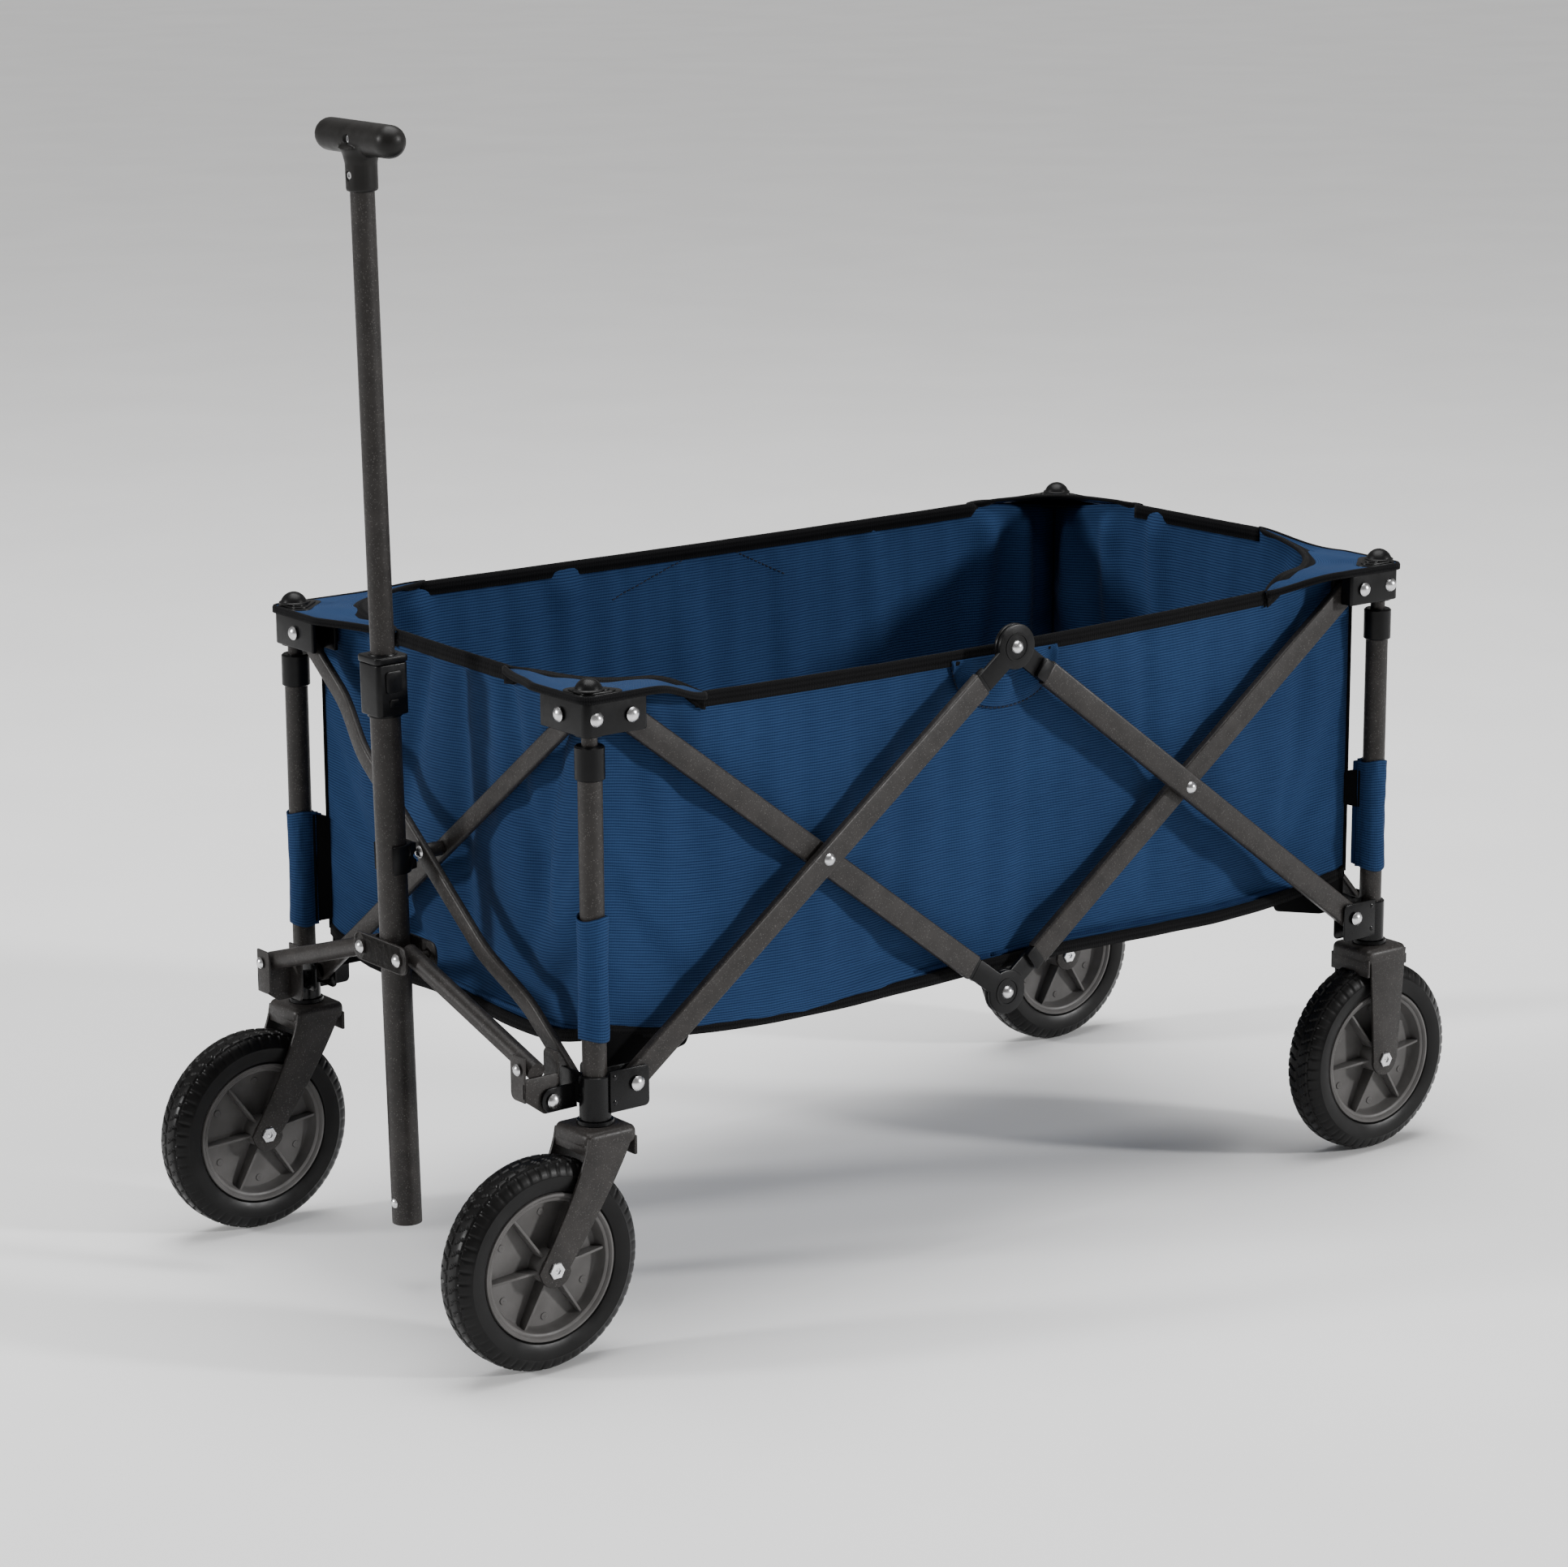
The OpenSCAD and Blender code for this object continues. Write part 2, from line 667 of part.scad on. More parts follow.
fork("front", "far", caster_trail);  // caster_fork_far
fork("rear", "near", 0);  // rear_fork_near
fork("rear", "far", 0);  // rear_fork_far
hub("front", "near", caster_trail);  // hub_fn
hub("front", "far", caster_trail);  // hub_ff
hub("rear", "near", 0);  // hub_rn
hub("rear", "far", 0);  // hub_rf
tyre("front", "near", caster_trail);  // tyre_fn
tyre("front", "far", caster_trail);  // tyre_ff
tyre("rear", "near", 0);  // tyre_rn
tyre("rear", "far", 0);  // tyre_rf
handle_grip();
handle_inner_tube();
handle_lock_collar();
handle_outer_tube();
handle_bracket();
handle_clip();
yoke_tube("near");  // yoke_tube_near
yoke_tube("far");  // yoke_tube_far
yoke_bracket("near");  // yoke_bracket_near
yoke_bracket("far");  // yoke_bracket_far
tub_walls();
tub_floor("front");  // tub_floor_front
tub_floor("rear");  // tub_floor_rear
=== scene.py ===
"""Folding utility wagon with a pull handle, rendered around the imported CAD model."""
import json
import math

import bmesh
import bpy
from mathutils import Matrix, Vector, noise


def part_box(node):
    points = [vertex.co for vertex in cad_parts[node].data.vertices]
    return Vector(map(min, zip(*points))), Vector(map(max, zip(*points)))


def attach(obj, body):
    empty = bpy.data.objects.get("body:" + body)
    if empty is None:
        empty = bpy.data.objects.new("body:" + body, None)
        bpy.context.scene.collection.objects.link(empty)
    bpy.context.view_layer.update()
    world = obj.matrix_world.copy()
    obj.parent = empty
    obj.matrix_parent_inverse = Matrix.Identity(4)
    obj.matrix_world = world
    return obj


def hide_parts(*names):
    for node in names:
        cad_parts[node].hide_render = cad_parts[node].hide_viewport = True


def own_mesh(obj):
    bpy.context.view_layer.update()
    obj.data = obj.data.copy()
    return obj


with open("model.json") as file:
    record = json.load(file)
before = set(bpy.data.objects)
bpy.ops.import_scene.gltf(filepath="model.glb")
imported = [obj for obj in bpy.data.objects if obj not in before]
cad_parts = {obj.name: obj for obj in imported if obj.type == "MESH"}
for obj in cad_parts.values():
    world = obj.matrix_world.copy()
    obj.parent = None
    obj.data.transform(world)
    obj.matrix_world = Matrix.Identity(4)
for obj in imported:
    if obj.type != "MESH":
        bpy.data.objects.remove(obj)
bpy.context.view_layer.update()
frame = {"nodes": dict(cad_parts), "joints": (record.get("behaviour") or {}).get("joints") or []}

# ---------------------------------------------------------------- sizes, from the frame, in metres
LO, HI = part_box("tub_walls")
MID_X = (LO.x + HI.x) / 2
RIM_Z = HI.z
LOW_Z = LO.z
POST = {}
for corner in ("fn", "ff", "rn", "rf"):
    low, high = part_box("post_tube_" + corner)
    POST[corner] = Vector(((low.x + high.x) / 2, (low.y + high.y) / 2, 0))
POST_R = (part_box("post_tube_fn")[1].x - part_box("post_tube_fn")[0].x) / 2
JOINT = {j["name"]: j for j in frame["joints"]}


def pivot(name):
    """Where a joint turns, in the row frame."""
    return Vector(JOINT[name]["pos_m"])


def turned(degrees, axis):
    return Matrix.Rotation(math.radians(degrees), 4, axis)


def moved(x, y, z):
    return Matrix.Translation((x, y, z))


# ---------------------------------------------------------------- materials
def new_material(name):
    mat = bpy.data.materials.new(name)
    mat.use_nodes = True
    tree = mat.node_tree
    tree.nodes.clear()
    out = tree.nodes.new("ShaderNodeOutputMaterial")
    bsdf = tree.nodes.new("ShaderNodeBsdfPrincipled")
    tree.links.new(bsdf.outputs["BSDF"], out.inputs["Surface"])
    return mat, tree, bsdf


def node(tree, kind, **values):
    n = tree.nodes.new(kind)
    for key, value in values.items():
        if key in n.inputs:
            n.inputs[key].default_value = value
        else:
            setattr(n, key, value)
    return n


def coordinates(tree, output="Object", scale=(1, 1, 1)):
    coord = tree.nodes.new("ShaderNodeTexCoord")
    mapping = tree.nodes.new("ShaderNodeMapping")
    mapping.inputs["Scale"].default_value = scale
    tree.links.new(coord.outputs[output], mapping.inputs["Vector"])
    return mapping.outputs["Vector"]


def noise_value(tree, vector, scale, detail, rough=0.5):
    n = node(tree, "ShaderNodeTexNoise", Scale=scale, Detail=detail, Roughness=rough)
    tree.links.new(vector, n.inputs["Vector"])
    return n.outputs["Fac"]


def ramp(tree, fac, stops):
    """Colour ramp; stops are (position, grey or colour)."""
    r = tree.nodes.new("ShaderNodeValToRGB")
    elements = r.color_ramp.elements
    for i, (pos, value) in enumerate(stops):
        colour = (value, value, value, 1) if isinstance(value, (int, float)) else (*value, 1)
        e = elements[i] if i < 2 else elements.new(pos)
        e.position = pos
        e.color = colour
    tree.links.new(fac, r.inputs["Fac"])
    return r.outputs["Color"]


def math_node(tree, op, a, b):
    m = tree.nodes.new("ShaderNodeMath")
    m.operation = op
    for i, value in enumerate((a, b)):
        if isinstance(value, (int, float)):
            m.inputs[i].default_value = value
        else:
            tree.links.new(value, m.inputs[i])
    return m.outputs[0]


def mix_colour(tree, fac, a, b):
    m = tree.nodes.new("ShaderNodeMix")
    m.data_type = "RGBA"
    for socket, value in ((m.inputs[0], fac), (m.inputs[6], a), (m.inputs[7], b)):
        if isinstance(value, tuple):
            socket.default_value = (*value, 1)
        elif isinstance(value, (int, float)):
            socket.default_value = value
        else:
            tree.links.new(value, socket)
    return m.outputs[2]


def bump(tree, bsdf, height, distance, strength):
    b = node(tree, "ShaderNodeBump", Strength=strength, Distance=distance)
    tree.links.new(height, b.inputs["Height"])
    tree.links.new(b.outputs["Normal"], bsdf.inputs["Normal"])


def powder_coat():
    """Charcoal powder coat: fine orange peel, and tiny bright flakes."""
    mat, tree, bsdf = new_material("powder_coat")
    vec = coordinates(tree)
    patch = noise_value(tree, vec, 60, 4)
    base = ramp(tree, patch, [(0.3, (0.0148, 0.0132, 0.0124)), (0.7, (0.0244, 0.0218, 0.0205))])
    flakes = node(tree, "ShaderNodeTexVoronoi", Scale=1400.0)
    tree.links.new(vec, flakes.inputs["Vector"])
    flake = ramp(tree, flakes.outputs["Color"], [(0.80, 0.0), (0.90, 1.0)])
    colour = mix_colour(tree, math_node(tree, "MULTIPLY", flake, 0.30), base, (0.17, 0.16, 0.155))
    tree.links.new(colour, bsdf.inputs["Base Color"])
    rough = ramp(tree, noise_value(tree, vec, 350, 3), [(0.3, 0.36), (0.7, 0.52)])
    tree.links.new(rough, bsdf.inputs["Roughness"])
    bsdf.inputs["Specular IOR Level"].default_value = 0.22
    bump(tree, bsdf, noise_value(tree, vec, 900, 3, 0.6), 0.00012, 0.6)
    return mat


def moulded_plastic(name, dark, light, rough, grain=700, depth=0.00008):
    """Moulded plastic with a fine spark-eroded grain and faint mottling."""
    mat, tree, bsdf = new_material(name)
    vec = coordinates(tree)
    colour = ramp(tree, noise_value(tree, vec, 45, 4), [(0.3, dark), (0.72, light)])
    tree.links.new(colour, bsdf.inputs["Base Color"])
    r = ramp(tree, noise_value(tree, vec, 160, 4), [(0.3, rough - 0.06), (0.7, rough + 0.08)])
    tree.links.new(r, bsdf.inputs["Roughness"])
    bsdf.inputs["Specular IOR Level"].default_value = 0.16
    bump(tree, bsdf, noise_value(tree, vec, grain, 4, 0.65), depth, 0.7)
    return mat


def tyre_rubber():
    mat, tree, bsdf = new_material("tyre_rubber")
    vec = coordinates(tree)
    colour = ramp(tree, noise_value(tree, vec, 35, 5),
                  [(0.3, (0.0026, 0.0025, 0.0025)), (0.75, (0.0062, 0.0060, 0.0060))])
    tree.links.new(colour, bsdf.inputs["Base Color"])
    rough = ramp(tree, noise_value(tree, vec, 90, 5), [(0.3, 0.30), (0.7, 0.42)])
    tree.links.new(rough, bsdf.inputs["Roughness"])
    bsdf.inputs["Specular IOR Level"].default_value = 0.16
    bump(tree, bsdf, noise_value(tree, vec, 500, 4, 0.6), 0.00008, 0.5)
    return mat


def bright_metal():
    """Plated rivet steel with fine drawn marks."""
    mat, tree, bsdf = new_material("plated_steel")
    vec = coordinates(tree)
    colour = ramp(tree, noise_value(tree, vec, 120, 4),
                  [(0.3, (0.52, 0.52, 0.53)), (0.7, (0.72, 0.72, 0.73))])
    tree.links.new(colour, bsdf.inputs["Base Color"])
    bsdf.inputs["Metallic"].default_value = 1.0
    rough = ramp(tree, noise_value(tree, vec, 420, 4), [(0.3, 0.20), (0.7, 0.36)])
    tree.links.new(rough, bsdf.inputs["Roughness"])
    bump(tree, bsdf, noise_value(tree, vec, 800, 3), 0.00005, 0.5)
    return mat


def thread_wave(tree, uv, direction, pitch, distortion=0.35):
    """Bands across UV space, pitch metres apart."""
    w = node(tree, "ShaderNodeTexWave", wave_type="BANDS", bands_direction=direction, wave_profile="SIN")
    w.inputs["Scale"].default_value = 0.05 * 2 * math.pi / pitch
    w.inputs["Distortion"].default_value = distortion
    w.inputs["Detail"].default_value = 1.0
    w.inputs["Detail Scale"].default_value = 0.6
    tree.links.new(uv, w.inputs["Vector"])
    return w.outputs["Fac"]


def blend_fac(tree, a, b, share):
    """a and b added in the shares 1 - share and share."""
    return math_node(tree, "ADD", math_node(tree, "MULTIPLY", a, 1 - share),
                     math_node(tree, "MULTIPLY", b, share))


def woven(name, dark, light, pitch, depth, rough, sheen, rib=0.0):
    """Plain weave from two crossed sets of threads in UV space, UV being metres on the cloth.
    rib is the share of a coarser horizontal rib, two threads apart."""
    mat, tree, bsdf = new_material(name)
    uv = coordinates(tree, "UV")
    warp, weft = thread_wave(tree, uv, "X", pitch), thread_wave(tree, uv, "Y", pitch)
    checker = node(tree, "ShaderNodeTexChecker", Scale=1.0 / pitch)
    tree.links.new(uv, checker.inputs["Vector"])
    weave = blend_fac(tree, mix_colour(tree, checker.outputs["Fac"], warp, weft),
                      blend_fac(tree, warp, weft, 0.5), 0.5)
    height = blend_fac(tree, weave, thread_wave(tree, uv, "Y", 2 * pitch, 0.2), rib)
    patch = noise_value(tree, uv, 9, 5)
    slub = noise_value(tree, coordinates(tree, "UV", (40, 700, 1)), 1.0, 2)
    # Colour follows the threads' height: crests lighter and the hollows between threads darker, which is
    # painted shade; patch and slub add random tone.
    painted_shade_and_tone = blend_fac(tree, height, blend_fac(tree, patch, slub, 0.45), 0.45)
    colour = ramp(tree, painted_shade_and_tone, [(0.22, dark), (0.78, light)])
    tree.links.new(colour, bsdf.inputs["Base Color"])
    r = ramp(tree, patch, [(0.3, rough - 0.05), (0.7, rough + 0.07)])
    tree.links.new(r, bsdf.inputs["Roughness"])
    bsdf.inputs["Sheen Weight"].default_value = sheen
    bsdf.inputs["Sheen Roughness"].default_value = 0.45
    bsdf.inputs["Specular IOR Level"].default_value = 0.12
    bsdf.inputs["IOR"].default_value = 1.2
    bump(tree, bsdf, height, depth, 0.8)
    return mat


STEEL = powder_coat()
BLACK = moulded_plastic("black_plastic", (0.0022, 0.0022, 0.0024), (0.0056, 0.0056, 0.0060), 0.34)
GLOSS = moulded_plastic("gloss_black_coat", (0.0030, 0.0030, 0.0032), (0.0065, 0.0065, 0.0070), 0.22, 420,
                        0.00005)
GRIP = moulded_plastic("grip_plastic", (0.0080, 0.0075, 0.0070), (0.0140, 0.0132, 0.0125), 0.40, 520,
                       0.00010)
HUB = moulded_plastic("hub_plastic", (0.070, 0.067, 0.065), (0.100, 0.096, 0.094), 0.36, 600, 0.00010)
TYRE = tyre_rubber()
METAL = bright_metal()
CLOTH = woven("blue_polyester", (0.0045, 0.0125, 0.040), (0.0230, 0.0540, 0.128), 0.0012, 0.00032, 0.66,
              0.02, 0.55)
TAPE = woven("black_tape", (0.0025, 0.0025, 0.0028), (0.0080, 0.0080, 0.0086), 0.0016, 0.00030, 0.68, 0.03)
THREAD = moulded_plastic("thread", (0.003, 0.004, 0.009), (0.010, 0.013, 0.026), 0.6, 900, 0.00005)


# ---------------------------------------------------------------- CAD nodes get their finish
def paint_nodes():
    starts = {
        "tyre": TYRE, "hub": HUB, "post_collar": BLACK, "top_bracket": BLACK, "handle_lock": BLACK,
        "handle_clip": BLACK, "handle_grip": GRIP, "tub": CLOTH,
    }
    for name, obj in frame["nodes"].items():
        mat = next((m for start, m in starts.items() if name.startswith(start)), STEEL)
        obj.data.materials.clear()
        obj.data.materials.append(mat)


paint_nodes()


# ---------------------------------------------------------------- mesh helpers
def make(name, bm, mat, body=None, smooth=True):
    mesh = bpy.data.meshes.new(name)
    bm.to_mesh(mesh)
    bm.free()
    obj = bpy.data.objects.new(name, mesh)
    bpy.context.scene.collection.objects.link(obj)
    for m in mat if isinstance(mat, (list, tuple)) else [mat]:
        mesh.materials.append(m)
    for p in mesh.polygons:
        p.use_smooth = smooth
    if body:
        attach(obj, body)
    return obj


def modify(obj, kind, **values):
    m = obj.modifiers.new(kind.lower(), kind)
    for key, value in values.items():
        setattr(m, key, value)
    return m


def apply_modifiers(obj):
    dg = bpy.context.evaluated_depsgraph_get()
    mesh = bpy.data.meshes.new_from_object(obj.evaluated_get(dg))
    obj.modifiers.clear()
    obj.data = mesh


def thicken(obj, thickness, offset, smoothed=False):
    """Gives a sheet its thickness, after one round of subdivision where smoothed is set."""
    if smoothed:
        modify(obj, "SUBSURF", levels=1, render_levels=1)
    modify(obj, "SOLIDIFY", thickness=thickness, offset=offset)
    apply_modifiers(obj)
    for p in obj.data.polygons:
        p.use_smooth = True


# ---------------------------------------------------------------- stage, light and camera
FLOOR_SIZE = 40
WORLD_COLOUR, WORLD_STRENGTH = (1.0, 0.985, 0.965, 1), 0.24
TOP_LIGHT = {"place": (0.2, 0.2, 4.2), "size": 3.6, "energy": 260}
SUNS = (
    # name, direction, strength, angle in degrees
    ("key", (-0.58, 0.78, -0.30), 2.8, 6),
    ("left", (0.86, -0.40, -0.30), 2.4, 8),
)


def place_light(name, kind, direction, energy):
    light = bpy.data.lights.new(name, kind)
    light.energy = energy
    obj = bpy.data.objects.new(name, light)
    obj.rotation_mode = "QUATERNION"
    obj.rotation_quaternion = Vector(direction).to_track_quat("-Z", "Y")
    bpy.context.scene.collection.objects.link(obj)
    return obj


def build_stage():
    bm = bmesh.new()
    bmesh.ops.create_grid(bm, x_segments=1, y_segments=1, size=FLOOR_SIZE)
    floor = make("floor", bm, [], smooth=False)
    mat, tree, bsdf = new_material("floor_paint")
    vec = coordinates(tree)
    colour = ramp(tree, noise_value(tree, vec, 3, 4),
                  [(0.3, (0.88, 0.88, 0.88)), (0.7, (0.92, 0.92, 0.92))])
    tree.links.new(colour, bsdf.inputs["Base Color"])
    bsdf.inputs["Roughness"].default_value = 0.75
    floor.data.materials.append(mat)
    floor.location.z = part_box("tyre_fn")[0].z
    world = bpy.data.worlds.new("studio")
    bpy.context.scene.world = world
    world.use_nodes = True
    background = world.node_tree.nodes["Background"]
    background.inputs["Color"].default_value = WORLD_COLOUR
    background.inputs["Strength"].default_value = WORLD_STRENGTH
    top = place_light("top", "AREA", -Vector(TOP_LIGHT["place"]), TOP_LIGHT["energy"])
    top.location = TOP_LIGHT["place"]
    top.data.size = TOP_LIGHT["size"]
    for name, direction, strength, angle in SUNS:
        sun = place_light(name, "SUN", direction, strength)
        sun.data.angle = math.radians(angle)



CAMERA_PLACE = (-2.4198, -3.0938, 1.3269)       # from the middle of the wagon's length
CAMERA_FORWARD = (0.58739, 0.77377, -0.23718)
CAMERA_UP = (0.14789, 0.18550, 0.97145)
LENS, SENSOR, CLIP_START = 104.54, 36, 0.05     # millimetres, millimetres, metres


def build_camera():
    """The camera stands in front of the near corner, a little above the handle."""
    cam = bpy.data.cameras.new("camera")
    obj = bpy.data.objects.new("camera", cam)
    bpy.context.scene.collection.objects.link(obj)
    centre = Vector((MID_X, 0, 0))
    obj.location = centre + Vector(CAMERA_PLACE)
    forward, up = Vector(CAMERA_FORWARD), Vector(CAMERA_UP)
    right = forward.cross(up)
    turn = Matrix((right, up, -forward)).transposed().to_4x4()
    obj.matrix_world = Matrix.Translation(obj.location) @ turn
    cam.sensor_width, cam.lens, cam.clip_start = SENSOR, LENS, CLIP_START
    bpy.context.scene.camera = obj


# ---------------------------------------------------------------- fabric tub
WALL_X = HI.x - MID_X - 0.0035     # half length and half width of the tub's cloth
WALL_Y = HI.y - 0.0035
EDGE_HOLD = (12, 12, 9, 14)        # how fast creases set in from the start, the end, the hem and the rim
OUT_LIMIT = 0.0045                 # how far the cloth may stand out of its plane, towards the bars
STEP = 0.0105                      # grid of the simulated cloth
CLOTH_T = 0.0012
PAD_T = 0.003                      # the padded floor
THIN_T = 0.0009                    # flaps, sleeves and gussets
# where a corner flap meets the side's rim and the end's, from the post's axis
FLAP_REACH = (-0.124, -0.140)
CORNER_Z = 0.5450                  # height of the walls under the flaps
BAR_RISE, BAR_SPAN_X, BAR_SPAN_Y = 0.304, 0.8, 0.4     # between the bars' outermost pivots
OPEN_ANGLE = math.atan2(BAR_RISE, BAR_SPAN_X / 2)
SHUT_ANGLE = OPEN_ANGLE + math.radians(JOINT["fold"]["range_deg"][1])
FOLD_SHARE = 1 - math.cos(SHUT_ANGLE) / math.cos(OPEN_ANGLE)
KEEP_X = 1 - FOLD_SHARE * BAR_SPAN_X / (2 * WALL_X)
KEEP_Y = 1 - FOLD_SHARE * BAR_SPAN_Y / (2 * WALL_Y)
FRONT_ANCHOR = (MID_X - WALL_X, 0, 0)
NEAR_ANCHOR = (0, -WALL_Y, 0)


RIM = {
    # wall: (height at the start, height at the end, sag in the middle)
    "near": (0.5315, 0.5385, 0.0075),
    "far": (0.5580, 0.5565, 0.0020),
    "front": (0.5430, 0.5495, 0.0008),
    "rear": (0.5640, 0.5590, 0.0010),
}


def flap_end(wall):
    """How far along a wall, from its middle, the corner flaps take over its rim; from 0 to 1."""
    if wall in ("near", "far"):
        return (POST["rn"].x - MID_X + FLAP_REACH[0]) / WALL_X
    return (POST["rf"].y + FLAP_REACH[1]) / WALL_Y


def rim_height(wall, t):
    """Height of a wall's rim, t from -1 to 1 along it; under the flaps it runs to the brackets' height."""
    start, end, sag = RIM[wall]
    free = start + (end - start) * (t + 1) / 2 - sag * (1 - t * t)
    k = max(0.0, (abs(t) - flap_end(wall)) / (1 - flap_end(wall)))
    return free + (CORNER_Z - free) * k * k * (3 - 2 * k)


def hem_height(t):
    """Height of a wall's lower edge, drawn up towards the corners."""
    return LOW_Z + 0.001 + 0.017 * abs(t) ** 5 + 0.0025 * math.sin(5.0 * t + 1.0)


WALLS = {
    # name: (start, end, outward normal, slack, body, squash axis, anchor, keep); slack is the share by
    # which the cloth is cut larger than its frame
    "near": ((-WALL_X, -WALL_Y), (WALL_X, -WALL_Y), (0, -1), 0.010, "top_fn", (1, 0, 0), FRONT_ANCHOR,
             KEEP_X),
    "far": ((-WALL_X, WALL_Y), (WALL_X, WALL_Y), (0, 1), 0.016, "top_ff", (1, 0, 0), FRONT_ANCHOR, KEEP_X),
    "front": ((-WALL_X, -WALL_Y), (-WALL_X, WALL_Y), (-1, 0), 0.020, "top_fn", (0, 1, 0), NEAR_ANCHOR,
              KEEP_Y),
    "rear": ((WALL_X, -WALL_Y), (WALL_X, WALL_Y), (1, 0), 0.022, "top_rn", (0, 1, 0), NEAR_ANCHOR, KEEP_Y),
}


def wall_point(wall, t, v, lift=0.0):
    """A point of the flat wall: t from -1 to 1 along it, v from 0 at the hem to 1 at the rim."""
    (ax, ay), (bx, by), (nx, ny) = WALLS[wall][:3]
    s = (t + 1) / 2
    z = hem_height(t) + (rim_height(wall, t) - hem_height(t)) * v
    return Vector((MID_X + ax + (bx - ax) * s + nx * lift, ay + (by - ay) * s + ny * lift, z))


def grid_sheet(bm, nu, nv, place, size):
    """Adds a grid of nu by nv faces with UVs in metres, and returns its border's vertex indices."""
    uv = bm.loops.layers.uv.verify()
    start = len(bm.verts)
    rows = [[bm.verts.new(place(i / nu, j / nv)) for i in range(nu + 1)] for j in range(nv + 1)]
    for j in range(nv):
        for i in range(nu):
            f = bm.faces.new((rows[j][i], rows[j][i + 1], rows[j + 1][i + 1], rows[j + 1][i]))
            for loop, (a, b) in zip(f.loops, ((i, j), (i + 1, j), (i + 1, j + 1), (i, j + 1))):
                loop[uv].uv = (size[0] * a / nu, size[1] * b / nv)
    return {start + j * (nu + 1) + i for j in range(nv + 1) for i in range(nu + 1)
            if i in (0, nu) or j in (0, nv)}


WALL_FRAMES, FLOOR_FRAMES = 34, 30     # frames of simulation


def simulate(obj, border, frames, slack=0.012):
    """Lets the slack cloth buckle under its own weight with its border held."""
    held = obj.vertex_groups.new(name="held")
    held.add(sorted(border), 1.0, "REPLACE")
    cloth = modify(obj, "CLOTH")
    s = cloth.settings
    s.quality = 6
    s.mass = 0.25
    s.tension_stiffness = s.compression_stiffness = 22
    s.shear_stiffness = 8
    s.bending_stiffness = 0.5
    s.air_damping = 4
    s.shrink_min = s.shrink_max = -slack
    s.vertex_group_mass = "held"
    cloth.collision_settings.use_collision = False
    scene = bpy.context.scene
    cloth.point_cache.frame_start, cloth.point_cache.frame_end = 1, frames
    for f in range(1, frames + 1):
        scene.frame_set(f)
    apply_modifiers(obj)
    scene.frame_set(1)


def seed_offset(p, amount):
    """Smooth seeded unevenness, so that the cloth has somewhere to buckle."""
    return amount * noise.noise(Vector((p.x * 9, p.y * 9 + 4.0, p.z * 7)))


CREASES = {
    # wall: (share along it at the rim, share along it at the hem, half width, depth), depth inward
    "near": ((0.040, 0.085, 0.011, 0.004), (0.085, 0.165, 0.014, 0.004), (0.700, 0.735, 0.012, 0.003),
             (0.945, 0.900, 0.012, 0.006), (0.975, 0.960, 0.009, 0.005)),
    "far": ((0.945, 0.930, 0.011, 0.020), (0.978, 0.985, 0.009, 0.016), (0.900, 0.840, 0.018, 0.010),
            (0.055, 0.040, 0.012, 0.010), (0.110, 0.170, 0.020, 0.006), (0.300, 0.360, 0.030, 0.005)),
    "front": ((0.100, 0.300, 0.035, 0.009), (0.320, 0.120, 0.030, 0.008), (0.600, 0.820, 0.035, 0.009),
              (0.870, 0.700, 0.028, 0.010), (0.480, 0.520, 0.030, 0.006)),
    "rear": ((0.930, 0.950, 0.020, 0.016), (0.800, 0.740, 0.030, 0.009), (0.640, 0.560, 0.030, 0.007),
             (0.150, 0.320, 0.030, 0.008)),
}


def crease_depth(wall, u, v):
    """How far the wall's seeded folds draw it inward at u along it and v up it."""
    depth = 0.0
    for at_rim, at_hem, width, deep in CREASES[wall]:
        off = (u - (at_hem + (at_rim - at_hem) * v)) / width
        depth += 1.5 * deep * math.exp(-off * off) * (0.35 + 0.65 * v)
    return depth


def build_walls():
    pieces = {}
    for wall, (start, end, normal, slack, body, *_) in WALLS.items():
        length = math.dist(start, end)
        height = RIM_Z - LOW_Z
        bm = bmesh.new()

        def place(u, v, wall=wall):
            p = wall_point(wall, u * 2 - 1, v)
            inside = math.sin(math.pi * u) * math.sin(math.pi * v)
            held = min(1, *(k * d for k, d in zip(EDGE_HOLD, (u, 1 - u, v, 1 - v))))
            push = inside * (-0.003 + seed_offset(p, 0.006)) - held * crease_depth(wall, u, v)
            return wall_point(wall, u * 2 - 1, v, push)

        border = grid_sheet(bm, round(length / STEP), round(height / STEP), place, (length, height))
        obj = make("tub_wall_" + wall, bm, CLOTH)
        simulate(obj, border, WALL_FRAMES, slack)
        flat = Vector((MID_X + start[0], start[1], 0))
        out = Vector((*normal, 0))
        for vert in obj.data.vertices:
            rise = (vert.co - flat).dot(out)
            if rise > 0:
                vert.co -= out * (rise - OUT_LIMIT * (1 - math.exp(-rise / OUT_LIMIT)))
        thicken(obj, CLOTH_T, 0, smoothed=True)
        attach(obj, body)
        pieces[wall] = obj
    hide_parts("tub_walls")
    return pieces


FLOOR_LOWEST, FLOOR_HIGHEST = -0.006, 0.035     # limits of the floor cloth, from the walls' foot


